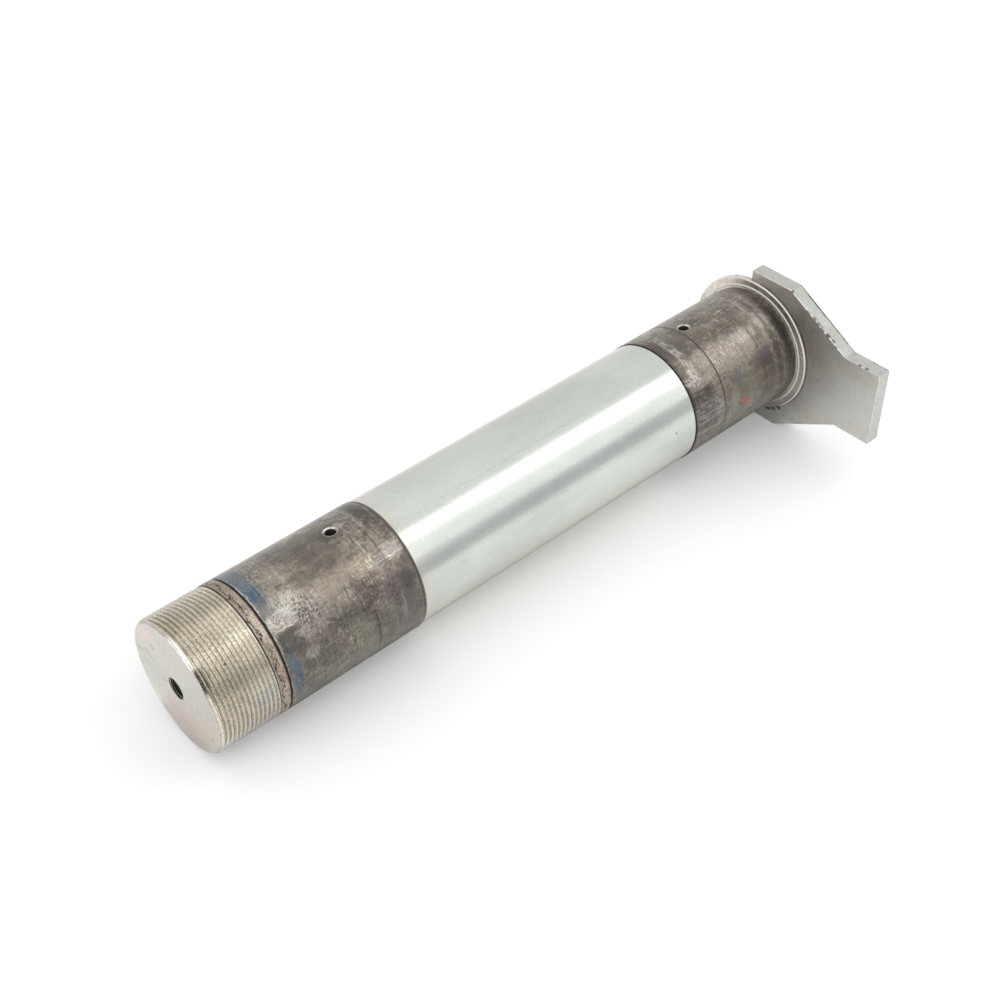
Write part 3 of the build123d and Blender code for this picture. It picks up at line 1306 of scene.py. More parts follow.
@dataclass
class LockPlate:
    """The flat lock plate: broad across the collar and tapered to a tongue."""

    front: float = 1.5 * MM
    thickness: float = 7.5 * MM
    body_half: float = 40.0 * MM
    tongue_half: float = 20.0 * MM
    inner_edge: float = 4.0 * MM
    taper_start: float = -20.0 * MM
    tongue_start: float = -55.0 * MM
    tongue_end: float = -75.0 * MM
    corner_round: float = 0.5 * MM
    edge_chamfer: float = 0.3 * MM
    edge_angle: float = math.radians(60)
    smooth_angle: float = math.radians(40)
    flat_facing: float = 0.98
    edge_facing: float = 0.2
    taper_facing: Pair = (-0.8, -0.3)

    def outline(self) -> list[Pair]:
        """Gives the corners of the plate as (y, z), in order round it."""
        upper = [
            (self.inner_edge, self.body_half),
            (self.taper_start, self.body_half),
            (self.tongue_start, self.tongue_half),
            (self.tongue_end, self.tongue_half),
        ]
        return upper + [(y, -z) for y, z in reversed(upper)]

    def build(self) -> bpy.types.Object:
        """Makes and dresses the plate.

        Returns:
            The finished plate.
        """
        plate = draw("cut_plate", [Vector((self.front, *corner)) for corner in self.outline()])
        with editing(plate, "SELECT"):
            bpy.ops.mesh.edge_face_add()
            bpy.ops.mesh.bevel(offset=self.corner_round, segments=4, affect="VERTICES")
            bpy.ops.mesh.select_all(action="SELECT")
            depth = (self.thickness, 0, 0)
            bpy.ops.mesh.extrude_region_move(TRANSFORM_OT_translate={"value": depth})
        close_mesh(plate)
        edges = plate.modifiers.new("edges", "BEVEL")
        edges.width = self.edge_chamfer
        edges.segments = 2
        edges.limit_method = "ANGLE"
        edges.angle_limit = self.edge_angle
        apply_modifiers(plate)
        close_mesh(plate)
        smooth(plate, self.smooth_angle)
        dress(plate, PLATE_FINISHES, self.zone_of)
        finish_piece(plate, "plate_steel", "lock_plate")
        return plate

    def zone_of(self, _: Vector, normal: Vector) -> PlateZone:
        """Tells which finish a face of the plate has, by its direction alone.

        Args:
            _: The middle of the face; not used.
            normal: The face's outward direction.

        Returns:
            The zone.
        """
        if abs(normal.x) > self.flat_facing:
            return PlateZone.FLAT
        if abs(normal.x) > self.edge_facing:
            return PlateZone.FRONT_EDGE if normal.x < 0 else PlateZone.FAR_EDGE
        steepest, shallowest = self.taper_facing
        return PlateZone.TAPER if steepest < normal.y < shallowest else PlateZone.SIDE


@dataclass
class WeldBead:
    """The fillet weld behind the collar, laid in ripples along the plate's inner edge."""

    root_x: float = 3.5 * MM
    root_y: float = 4.0 * MM
    leg: float = 4.5 * MM
    half_length: float = 24.0 * MM
    crown: float = 0.6 * MM
    ripple: float = 1.6 * MM
    ripple_height: float = 0.22 * MM
    ripple_fade: float = 0.6
    root_share: float = 0.05
    end_length: float = 2.2 * MM
    end_least: float = 0.04
    smooth_angle: float = math.radians(50)
    steps: int = 150
    section_steps: int = 14

    def build(self) -> bpy.types.Object:
        """Makes and dresses the weld.

        Returns:
            The finished weld.
        """
        bead = draw("fillet_weld", self.section())
        with editing(bead, "SELECT"):
            bpy.ops.mesh.edge_face_add()
            bpy.ops.mesh.select_all(action="SELECT")
            rise = (0.0, 0.0, 2 * self.half_length / self.steps)
            for _ in range(self.steps):
                bpy.ops.mesh.extrude_region_move(TRANSFORM_OT_translate={"value": rise})
        self.ripples(bead)
        close_mesh(bead)
        smooth(bead, self.smooth_angle)
        bead.data.materials.append(WELD.material())
        finish_piece(bead, "weld_metal", "weld_bead")
        return bead

    def section(self) -> list[Vector]:
        """Gives the crowned outline of the weld at its lower end: its root, then toe to toe."""
        root = Vector((self.root_x, self.root_y, -self.half_length))
        toe_plate = root + Vector((self.leg, 0.0, 0.0))
        toe_collar = root + Vector((0.0, self.leg, 0.0))
        outward = Vector((1.0, 1.0, 0.0)).normalized()
        places = [root]
        for step in range(self.section_steps + 1):
            share = step / self.section_steps
            bulge = self.crown * 4 * share * (1 - share)
            places.append(toe_plate.lerp(toe_collar, share) + outward * bulge)
        return places

    def ripples(self, bead: bpy.types.Object) -> None:
        """Sinks the crown between the ripples, and rounds off the bead's two ends.

        Args:
            bead: The plain bead.
        """
        root = Vector((self.root_x, self.root_y, 0.0))
        for vertex in bead.data.vertices:
            offset = Vector((vertex.co.x, vertex.co.y, 0.0)) - root
            reach = offset.length / self.leg
            if reach < self.root_share:
                continue
            side = abs(offset.x - offset.y) / self.leg
            phase = (vertex.co.z + side * self.ripple) / self.ripple
            wave = (phase - math.floor(phase)) ** 2
            sunk = self.ripple_height * wave * (1 - self.ripple_fade * side)
            past = abs(vertex.co.z) - self.half_length + self.end_length
            end = max(0.0, past) / self.end_length
            shrink = (1 - sunk / offset.length) * math.sqrt(max(self.end_least, 1 - end * end))
            vertex.co.x = root.x + offset.x * shrink
            vertex.co.y = root.y + offset.y * shrink


# Studio


@dataclass(frozen=True)
class Softbox:
    """A soft area lamp that points at the pin."""

    name: str
    centre: Triple
    length: float
    width: float
    radiance: float
    aim: Triple = (-0.16, 0.0, 0.0)

    def place(self) -> None:
        """Puts the lamp in the scene, with its long side along X."""
        lamp = bpy.data.lights.new(self.name, "AREA")
        lamp.shape = "RECTANGLE"
        lamp.size = self.length
        lamp.size_y = self.width
        lamp.energy = self.radiance * math.pi * self.length * self.width
        holder = bpy.data.objects.new(self.name, lamp)
        bpy.context.scene.collection.objects.link(holder)
        beam = (Vector(self.aim) - Vector(self.centre)).normalized()
        along = (Vector((1, 0, 0)) - beam * beam.x).normalized()
        across = (-beam).cross(along)
        turned = Matrix((along, across, -beam)).transposed().to_4x4()
        holder.matrix_world = Matrix.Translation(self.centre) @ turned


@dataclass(frozen=True)
class Studio:
    """The plain studio: floor, soft light and the camera of the photograph."""

    floor_size: float = 8.0
    floor_colour: Colour = (0.85, 0.85, 0.85)
    floor_lift: float = 0.17
    # The glow settings from here on paint light into reflections: they change the floor only where
    # the metal mirrors it.
    floor_glow: float = 0.3
    end_lift: Colour = (0.235, 0.235, 0.235)
    distant_colour: Colour = (0.69, 0.69, 0.69)
    sky: float = 0.91
    zenith: float = 1.03
    dark_wall: float = 0.7
    glow_span: Pair = (0.155, 0.075)
    glow_start: Pair = (0.0, 0.03)
    contact_span: Pair = (0.018, 0.028)
    ahead_span: Pair = (MM, 13 * MM)
    distant_span: Pair = (0.07, 0.13)
    wall_heights: Pair = (0.2, 0.4)
    wall_sides: Pair = (-0.2, -0.5)
    zenith_heights: Pair = (0.45, 0.9)
    camera_place: Triple = (-0.49096, -0.37298, 0.43859)
    camera_right: Triple = (0.74499, -0.66695, -0.01289)
    camera_up: Triple = (0.45148, 0.4899, 0.74577)
    camera_lens: float = 54.2034
    camera_sensor: float = 36.0
    camera_near: float = 0.01
    rim_low: Pair = (-0.3307, -0.0299)
    plate_low: Pair = (0.0015, -0.04)
    softboxes: tuple[Softbox, ...] = (
        Softbox("strip_softbox", (0.35, -0.358, 0.819), 1.3, 0.36, 0.95),
        Softbox("fill_softbox", (0.35, -0.83, 0.731), 1.3, 0.53, 0.4),
        Softbox("side_softbox", (-1.2, 0.2, 0.44), 0.5, 0.42, 1.5, (-0.32, 0.0, 0.0)),
    )

    def build(self) -> None:
        """Sets up floor, lamps, world and camera."""
        self.lay_floor()
        for softbox in self.softboxes:
            softbox.place()
        self.light_world()
        self.set_camera()
        bpy.context.scene.view_settings.view_transform = "Standard"

    def lay_floor(self) -> None:
        """Lays a pale floor under the pin's rim and the plate's lower edge."""
        (x0, z0), (x1, z1) = self.rim_low, self.plate_low
        tilt = math.atan2(z0 - z1, x1 - x0)
        deselect_all()
        bpy.ops.mesh.primitive_grid_add(
            x_subdivisions=8,
            y_subdivisions=8,
            size=self.floor_size,
            location=(x1, 0, z1),
            rotation=(0, tilt, 0),
        )
        floor = new_piece("floor")
        recipe = Recipe("pale_floor", metallic=0.0)
        recipe.set("Roughness", 1.0)
        recipe.set("Specular IOR Level", 0.0)
        rays = recipe.node("ShaderNodeLightPath")
        shown = recipe.math("MAXIMUM", rays.outputs["Is Camera Ray"], rays.outputs["Is Glossy Ray"])
        shown = recipe.math("MAXIMUM", shown, rays.outputs["Is Transmission Ray"])
        # The emission lifts the floor evenly to white for the camera. For glossy rays it paints
        # reflections: more glow just behind the pin and in front of the threaded end, none right
        # beside and under the pin, and a darker colour far behind.
        split = recipe.node("ShaderNodeSeparateXYZ")
        recipe.feed(split.inputs[0], recipe.place)
        aside = recipe.math("ABSOLUTE", split.outputs[1])
        behind = recipe.fade(split.outputs[1], *self.glow_span, 0.0, self.floor_glow)
        behind = recipe.math("MULTIPLY", behind, recipe.fade(split.outputs[1], *self.glow_start))
        beside = recipe.math("ADD", behind, self.floor_lift)
        beside = recipe.math("MULTIPLY", beside, recipe.fade(aside, *self.contact_span))
        near, far = self.ahead_span
        ahead = recipe.fade(split.outputs[0], bar_low.x - near, bar_low.x - far)
        mirrored = recipe.mix(ahead, beside, self.end_lift)
        glossy = rays.outputs["Is Glossy Ray"]
        away = recipe.fade(split.outputs[1], *self.distant_span)
        distant = recipe.math("MULTIPLY", glossy, away)
        recipe.set("Base Color", recipe.mix(distant, self.floor_colour, self.distant_colour))
        plain = recipe.math("MULTIPLY", recipe.math("SUBTRACT", 1.0, glossy), self.floor_lift)
        lift = recipe.math("MULTIPLY_ADD", mirrored, glossy, plain)
        recipe.set("Emission Color", (1.0, 1.0, 1.0))
        recipe.set("Emission Strength", recipe.math("MULTIPLY", shown, lift))
        floor.data.materials.append(recipe.material)
        log.info("floor: tilted by %.2f degrees", math.degrees(tilt))

    def light_world(self) -> None:
        """Lights the world evenly, with a darker wall low down on the tongue's side."""
        world = bpy.data.worlds.new("studio")
        bpy.context.scene.world = world
        world.use_nodes = True
        tree = world.node_tree
        tree.nodes.clear()
        output = tree.nodes.new("ShaderNodeOutputWorld")
        sky = tree.nodes.new("ShaderNodeBackground")
        white = tree.nodes.new("ShaderNodeBackground")
        chosen = tree.nodes.new("ShaderNodeMixShader")
        rays = tree.nodes.new("ShaderNodeLightPath")
        place = tree.nodes.new("ShaderNodeTexCoord")
        split = tree.nodes.new("ShaderNodeSeparateXYZ")
        height = tree.nodes.new("ShaderNodeMapRange")
        side = tree.nodes.new("ShaderNodeMapRange")
        wall = tree.nodes.new("ShaderNodeMath")
        level = tree.nodes.new("ShaderNodeMapRange")
        zenith = tree.nodes.new("ShaderNodeMapRange")
        wall.operation = "MULTIPLY"
        ranges = (
            (height, (*self.wall_heights, 1.0, 0.0)),
            (side, (*self.wall_sides, 0.0, 1.0)),
            (zenith, (*self.zenith_heights, self.sky, self.zenith)),
        )
        for node, numbers in ranges:
            node.interpolation_type = "SMOOTHSTEP"
            for index, number in enumerate(numbers, start=1):
                node.inputs[index].default_value = number
        level.inputs[4].default_value = self.dark_wall
        white.inputs["Strength"].default_value = 1.0
        for start, end in (
            (place.outputs["Generated"], split.inputs[0]),
            (split.outputs[2], height.inputs[0]),
            (split.outputs[1], side.inputs[0]),
            (height.outputs[0], wall.inputs[0]),
            (side.outputs[0], wall.inputs[1]),
            (wall.outputs[0], level.inputs[0]),
            (split.outputs[2], zenith.inputs[0]),
            (zenith.outputs[0], level.inputs[3]),
            (level.outputs[0], sky.inputs["Strength"]),
            (rays.outputs["Is Camera Ray"], chosen.inputs[0]),
            (sky.outputs[0], chosen.inputs[1]),
            (white.outputs[0], chosen.inputs[2]),
            (chosen.outputs[0], output.inputs["Surface"]),
        ):
            tree.links.new(start, end)
        for shader in (sky, white):
            shader.inputs["Color"].default_value = (1.0, 1.0, 1.0, 1.0)

    def set_camera(self) -> None:
        """Puts the camera where the photograph was taken from."""
        data = bpy.data.cameras.new("photo_camera")
        data.lens = self.camera_lens
        data.sensor_width = self.camera_sensor
        data.clip_start = self.camera_near
        camera = bpy.data.objects.new("photo_camera", data)
        bpy.context.scene.collection.objects.link(camera)
        right, up = Vector(self.camera_right), Vector(self.camera_up)
        turned = Matrix((right, up, right.cross(up))).transposed().to_4x4()
        camera.matrix_world = Matrix.Translation(self.camera_place) @ turned
        bpy.context.scene.camera = camera


# The half angle of a mark that goes all round the bar without fading
ALL_ROUND = 2000.0

# Colours of the marks
RUST: Colour = (0.24, 0.09, 0.05)
WHITISH: Colour = (0.6, 0.57, 0.52)
BRIGHT: Colour = (0.46, 0.435, 0.395)
WORN: Colour = (0.37, 0.345, 0.305)
BLUE: Colour = (0.135, 0.155, 0.18)
MID_BLUE: Colour = (0.1, 0.14, 0.18)
DEEP_BLUE: Colour = (0.068, 0.11, 0.172)
CYAN: Colour = (0.17, 0.225, 0.235)
BURNT: Colour = (0.06, 0.05, 0.047)
DUSKY: Colour = (0.115, 0.098, 0.089)
PURPLE: Colour = (0.125, 0.1, 0.102)
STRAW: Colour = (0.28, 0.236, 0.178)
BEIGE: Colour = (0.285, 0.255, 0.207)
OLIVE: Colour = (0.25, 0.23, 0.18)
YELLOW: Colour = (0.6, 0.54, 0.4)
GREENISH: Colour = (0.36, 0.4, 0.345)
SMEAR: Colour = (0.3, 0.28, 0.25)
SEAM: Colour = (0.3, 0.31, 0.29)
BARE: Colour = (0.5, 0.48, 0.44)
# A pale colour laid on the plate as painted light.
PAINTED_SHEEN: Colour = (0.68, 0.66, 0.63)

END_MARKS = (
    Mark(16.0, -3.0, 12.0, 11.0, (0.5, 0.51, 0.465), 0.75, edge=0.8),
    Mark(7.0, -23.0, 7.0, 6.0, (0.74, 0.66, 0.62), 0.8, edge=0.8),
    Mark(2.0, 22.0, 9.0, 6.0, (0.55, 0.51, 0.48), 0.8, edge=0.8),
    Mark(-27.0, 10.0, 5.0, 8.0, (0.52, 0.48, 0.42), 0.8, edge=0.8),
    Mark(17.0, 16.0, 6.0, 6.0, (0.66, 0.55, 0.54), 0.8, edge=0.8),
    Mark(-2.0, -14.0, 12.0, 8.0, (0.66, 0.54, 0.48), 0.7, edge=0.8),
    Mark(-16.0, -12.0, 8.0, 8.0, (0.62, 0.58, 0.46), 0.8, edge=0.8),
    Mark(-16.0, 10.0, 10.0, 10.0, (0.53, 0.54, 0.485), 0.7, edge=0.8),
    Mark(24.5, 3.6, 3.6, 0.8, GREENISH, 0.95, ragged=0.5),
    Mark(19.0, 6.6, 3.0, 0.8, GREENISH, 0.8, ragged=0.6),
    Mark(13.4, 12.8, 2.8, 1.0, GREENISH, 0.8, ragged=0.6),
    Mark(26.5, -5.0, 3.0, 0.7, GREENISH, 0.9, ragged=0.5),
    Mark(21.5, -1.4, 2.6, 0.8, GREENISH, 0.85, ragged=0.6),
    Mark(16.0, 5.0, 2.4, 0.9, GREENISH, 0.7, ragged=0.6),
    Mark(7.2, -0.4, 2.4, 0.45, SMEAR, 0.8, ragged=0.5),
    Mark(9.8, -3.0, 1.6, 0.45, SMEAR, 0.7, ragged=0.5),
    Mark(-23.0, -10.2, 0.7, 0.6, SMEAR, 0.9, ragged=0.3),
    Mark(1.0, 14.0, 0.6, 0.6, SMEAR, 0.5),
)
THREAD_MARKS = (
    # A painted highlight over the thread's flanks on the lit side, and a darker band higher up,
    # painted shade.
    Mark(14.0, -74.0, 17.0, 13.0, (0.82, 0.77, 0.66), 1.0, edge=0.7, ragged=0.2, square=True),
    Mark(14.0, -98.0, 17.0, 9.0, (0.565, 0.53, 0.45), 0.9, edge=0.8, ragged=0.2, square=True),
    # Painted highlight on the end chamfer: two bright lines with darker lines beside them.
    Mark(0.7, -72.0, 0.7, 15.0, (0.9, 0.86, 0.79), 1.0, edge=0.3, ragged=0.2, square=True),
    Mark(0.25, -72.0, 0.22, 15.0, (1.0, 0.98, 0.94), 1.0, edge=0.3, ragged=0.1, square=True),
    Mark(0.62, -73.0, 0.12, 15.0, (0.4, 0.36, 0.3), 0.8, ragged=0.2, square=True),
    Mark(0.98, -70.0, 0.2, 13.0, (1.0, 0.98, 0.94), 1.0, edge=0.3, ragged=0.1, square=True),
    Mark(1.45, -73.0, 0.14, 17.0, (0.3, 0.26, 0.2), 0.8, ragged=0.3, square=True),
    Mark(0.95, -43.5, 0.5, 10.0, (0.04, 0.034, 0.032), 1.0, edge=0.3, ragged=0.2, square=True),
    Mark(2.9, -45.0, 0.5, 8.0, BURNT, 0.7, edge=0.3, ragged=0.6, square=True),
    Mark(5.0, -47.0, 0.5, 4.0, BURNT, 0.45),
    Mark(12.2, -46.5, 0.3, 0.8, BURNT, ragged=0.1),
    Mark(9.0, -50.0, 9.0, 40.0, (0.33, 0.3, 0.22), 0.4, grain=Grain.SPECKLED),
    Mark(22.0, -6.0, 5.0, 8.0, (0.58, 0.6, 0.58), 0.75, edge=0.7),
    Mark(4.0, -98.0, 4.0, 14.0, (0.5, 0.46, 0.36), 0.5, edge=0.6),
)
BAND_MARKS = (
    Mark(29.6, -24.0, 1.1, 11.0, (0.17, 0.085, 0.06), 0.8, grain=Grain.SPECKLED, ragged=1.2),
    Mark(31.0, -12.0, 1.0, 4.0, RUST, 0.7, grain=Grain.SPECKLED, ragged=1.2),
    Mark(30.2, -38.0, 1.2, 6.0, (0.2, 0.11, 0.08), 0.7, grain=Grain.SPECKLED, ragged=1.2),
    Mark(30.4, -104.0, 2.4, 18.0, (0.3, 0.255, 0.205), 0.7, edge=0.6, ragged=1.0),
    Mark(30.7, -56.0, 1.4, 13.0, (0.58, 0.51, 0.45), 0.6, ragged=1.0),
    Mark(32.45, -74.0, 0.45, 42.0, (0.42, 0.25, 0.14), 0.75, ragged=0.6),
    Mark(32.5, 0.0, 0.45, 60.0, (0.3, 0.15, 0.09), 0.65, ragged=0.8),
)
FRONT_MARKS = (
    Mark(36.4, -97.0, 3.9, 32.0, BLUE, 0.8, edge=0.6, ragged=1.0),
    Mark(37.6, -121.0, 2.4, 12.0, MID_BLUE, 0.6, edge=0.7, ragged=1.0),
    Mark(36.2, -86.0, 3.0, 14.0, MID_BLUE, 0.65, edge=0.7, ragged=1.4),
    Mark(36.6, -79.0, 2.4, 6.0, DEEP_BLUE, 0.8, edge=0.6, ragged=1.6),
    Mark(35.6, -93.0, 2.2, 6.0, CYAN, 0.85, edge=0.6, grain=Grain.AROUND),
    Mark(35.4, -72.0, 1.8, 4.0, BLUE, 0.6, edge=0.7, ragged=1.0),
    Mark(36.8, -12.0, 3.3, 24.0, BLUE, 0.8, edge=0.6, ragged=1.6),
    Mark(36.6, -12.0, 2.4, 12.0, MID_BLUE, 0.7, edge=0.6, ragged=1.4),
    Mark(36.0, -36.0, 1.6, 5.0, BLUE, 0.6, edge=0.6, ragged=1.2),
    Mark(40.2, -53.0, 6.3, 7.4, (0.37, 0.34, 0.3), 0.8, edge=0.08, ragged=0.2, square=True),
    Mark(39.5, -54.0, 6.5, 6.5, WHITISH, 0.8, grain=Grain.SPECKLED, ragged=0.8),
    Mark(41.0, -57.0, 6.0, 8.0, DUSKY, 0.6, grain=Grain.SLANTED, ragged=0.8),
    Mark(39.6, -46.4, 5.6, 0.6, WHITISH, 0.75, ragged=0.4),
    Mark(39.8, -36.2, 5.2, 8.4, (0.08, 0.07, 0.063), 0.85, edge=0.1, ragged=0.2, square=True),
    Mark(47.0, -33.0, 3.0, 7.0, WORN, 0.7, grain=Grain.SLANTED, ragged=0.8),
    Mark(54.0, -30.0, 4.5, 6.0, WORN, 0.6, grain=Grain.AROUND, ragged=1.2),
    Mark(45.6, -37.5, 3.0, 2.8, (0.31, 0.28, 0.26), 0.75, edge=0.2, ragged=0.9, square=True),
    Mark(52.5, -36.0, 3.4, 3.2, (0.3, 0.27, 0.245), 0.7, edge=0.2, ragged=1.1, square=True),
    Mark(58.5, -38.0, 2.8, 3.4, (0.29, 0.265, 0.25), 0.7, edge=0.2, ragged=1.1, square=True),
    Mark(61.5, -33.5, 2.2, 2.6, (0.27, 0.25, 0.24), 0.6, edge=0.2, ragged=1.1, square=True),
    Mark(50.0, -22.0, 7.0, 2.2, (0.12, 0.095, 0.085), 0.7, edge=0.4, ragged=1.4),
    Mark(45.9, -12.0, 0.8, 9.0, WORN, 0.8, edge=0.4, ragged=1.0),
    Mark(43.0, -28.0, 2.6, 5.0, DUSKY, 0.7, edge=0.3, ragged=1.2),
    Mark(59.0, -12.0, 4.0, 7.0, (0.13, 0.105, 0.09), 0.7, edge=0.3, ragged=1.4),
    Mark(43.5, -67.0, 5.5, 7.0, BRIGHT, 0.8, grain=Grain.AROUND, ragged=0.9),
    Mark(50.0, -54.0, 6.5, 15.0, BRIGHT, 0.65, grain=Grain.AROUND, ragged=1.1),
    Mark(46.5, -62.0, 6.0, 9.0, WHITISH, 0.75, grain=Grain.SLANTED, ragged=1.0),
    Mark(52.0, -47.0, 4.5, 7.0, WHITISH, 0.6, grain=Grain.SPECKLED, ragged=1.0),
    Mark(51.0, -50.0, 5.5, 12.0, BURNT, 0.95, grain=Grain.SPECKLED, ragged=0.8),
    Mark(34.9, -13.5, 0.7, 3.5, RUST, 0.5),
    # Painted highlight on the chamfer where the front bearing begins.
    Mark(33.85, -70.0, 0.3, 40.0, (0.44, 0.45, 0.45), 0.8, ragged=0.4),
    Mark(33.85, -10.0, 0.3, 30.0, (0.36, 0.37, 0.38), 0.6, ragged=0.6),
    Mark(75.0, -56.0, 23.0, 7.0, WORN, 0.5, grain=Grain.LENGTHWISE),
    Mark(90.0, -22.0, 9.0, 24.0, WORN, 0.5, grain=Grain.SLANTED),
    Mark(60.0, -24.0, 12.0, 13.0, DUSKY, 0.6, edge=0.6, ragged=1.4),
    Mark(66.0, -28.0, 9.0, 6.0, BURNT, 0.45, edge=0.3, ragged=1.6),
    Mark(57.0, -105.0, 9.0, 16.0, DUSKY, 0.55, edge=0.6, ragged=1.4),
    Mark(50.0, -88.0, 6.0, 9.0, WORN, 0.45, edge=0.4, ragged=1.6),
    Mark(69.0, -82.0, 7.0, 8.0, DUSKY, 0.5, edge=0.4, ragged=1.6),
    Mark(45.0, -1.5, 5.5, 1.0, WORN, 0.7, grain=Grain.LENGTHWISE),
    Mark(44.6, -11.0, 4.5, 5.5, DUSKY, 0.8, edge=0.2, ragged=0.9),
    Mark(46.0, -20.0, 3.0, 5.0, WORN, 0.55, ragged=0.9),
    Mark(52.0, -4.0, 4.0, 10.0, DUSKY, 0.6, edge=0.2, ragged=1.2),
    Mark(69.0, -1.5, 8.0, 20.0, OLIVE, 0.6, edge=0.5),
    Mark(68.0, -58.0, 14.0, 8.0, STRAW, 0.7, edge=0.6, ragged=1.0),
    Mark(80.0, -58.0, 5.0, 7.0, (0.33, 0.275, 0.195), 0.6, edge=0.5, ragged=0.8),
    Mark(68.0, -44.0, 4.0, 3.5, BRIGHT, 0.6, grain=Grain.AROUND),
    Mark(95.3, -108.0, 3.0, 26.0, (0.055, 0.048, 0.043), 0.9, edge=0.35, ragged=0.5, square=True),
    Mark(91.0, -118.0, 1.2, 16.0, DUSKY, 0.7, edge=0.35, ragged=0.5, square=True),
    Mark(91.5, -104.0, 0.7, 22.0, WORN, 0.4, ragged=0.5),
    Mark(91.5, -28.0, 7.5, 14.0, PURPLE, 0.85, edge=0.35),
    Mark(95.0, -30.0, 3.6, 9.0, BURNT, 0.55, edge=0.3),
    Mark(94.0, 4.0, 5.0, 24.0, DUSKY, 0.6, edge=0.5),
    Mark(87.0, -16.0, 1.3, 26.0, BURNT, 0.7, grain=Grain.SPECKLED, ragged=0.8),
    Mark(90.3, -8.0, 0.8, 16.0, (0.29, 0.265, 0.235), 0.6),
    Mark(94.0, -56.0, 4.5, 8.0, WORN, 0.65, edge=0.2, ragged=0.9),
    Mark(75.8, -6.0, 1.6, 17.0, DUSKY, 0.6, edge=0.6, ragged=1.4),
    Mark(76.6, -1.0, 0.45, 23.0, BURNT, 0.85, ragged=1.3, square=True),
    Mark(76.6, -37.0, 0.25, 12.0, BURNT, 0.6, ragged=0.4, square=True),
    Mark(90.0, -68.0, 0.3, 20.0, BURNT, 0.6, ragged=0.4, square=True),
    Mark(84.5, -67.0, 0.2, 13.0, BRIGHT, 0.6, ragged=0.5, square=True),
    Mark(84.6, -57.0, 0.28, 4.5, (0.55, 0.5, 0.41), 0.9, ragged=0.3),
    Mark(88.0, -52.8, 11.0, 0.35, WHITISH, 0.9, grain=Grain.SPECKLED, ragged=0.4),
    Mark(94.0, -52.6, 5.0, 0.35, WHITISH, 0.6, ragged=0.4),
    Mark(45.0, -116.7, 5.5, 0.8, BRIGHT, 0.8, grain=Grain.SPECKLED),
    Mark(73.5, -99.0, 4.5, 13.0, DUSKY, 0.8, edge=0.5, ragged=0.9),
    Mark(80.0, -96.0, 5.2, 11.0, BURNT, 0.65, edge=0.35, ragged=1.1),
    Mark(84.6, -98.0, 2.0, 4.5, BRIGHT, 0.6, edge=0.2, ragged=1.0),
    Mark(80.0, -97.0, 3.15, 6.0, BARE, 0.7, edge=0.4, ragged=0.6, ring=0.05),
    Mark(99.7, -50.0, 0.4, ALL_ROUND, BURNT, 0.85, ragged=0.6),
)
JOINT_MARKS = (
    Mark(100.75, -50.0, 0.25, ALL_ROUND, SEAM, 0.85, ragged=0.3, square=True),
    Mark(261.25, -50.0, 0.25, ALL_ROUND, SEAM, 0.85, ragged=0.3, square=True),
)
MIDDLE_MARKS = (
    Mark(101.3, -74.0, 1.3, 9.0, YELLOW, 0.7, edge=0.6),
    Mark(101.3, -15.0, 1.3, 10.0, YELLOW, 0.7, edge=0.6),
    # Thin darker lines and a grey stripe along the plated middle at fixed angles: painted
    # reflections.
    Mark(164.0, -71.0, 61.0, 0.3, (0.5, 0.53, 0.5), 0.7, ragged=0.2),
    Mark(180.0, -22.0, 70.0, 0.35, (0.5, 0.52, 0.49), 0.6, ragged=0.2),
    Mark(165.0, -32.5, 62.0, 4.0, (0.52, 0.57, 0.57), 0.5, edge=0.6, ragged=0.3),
    Mark(122.0, -16.0, 1.8, 2.4, YELLOW, 0.5),
    Mark(134.0, -8.0, 1.8, 2.4, YELLOW, 0.4),
    Mark(163.0, -18.0, 1.6, 2.0, YELLOW, 0.55),
    Mark(248.8, -12.0, 0.35, 1.8, BURNT, 0.8, ragged=0.2),
    Mark(103.0, -60.0, 3.0, ALL_ROUND, (0.66, 0.62, 0.54), 0.35, edge=0.6),
)
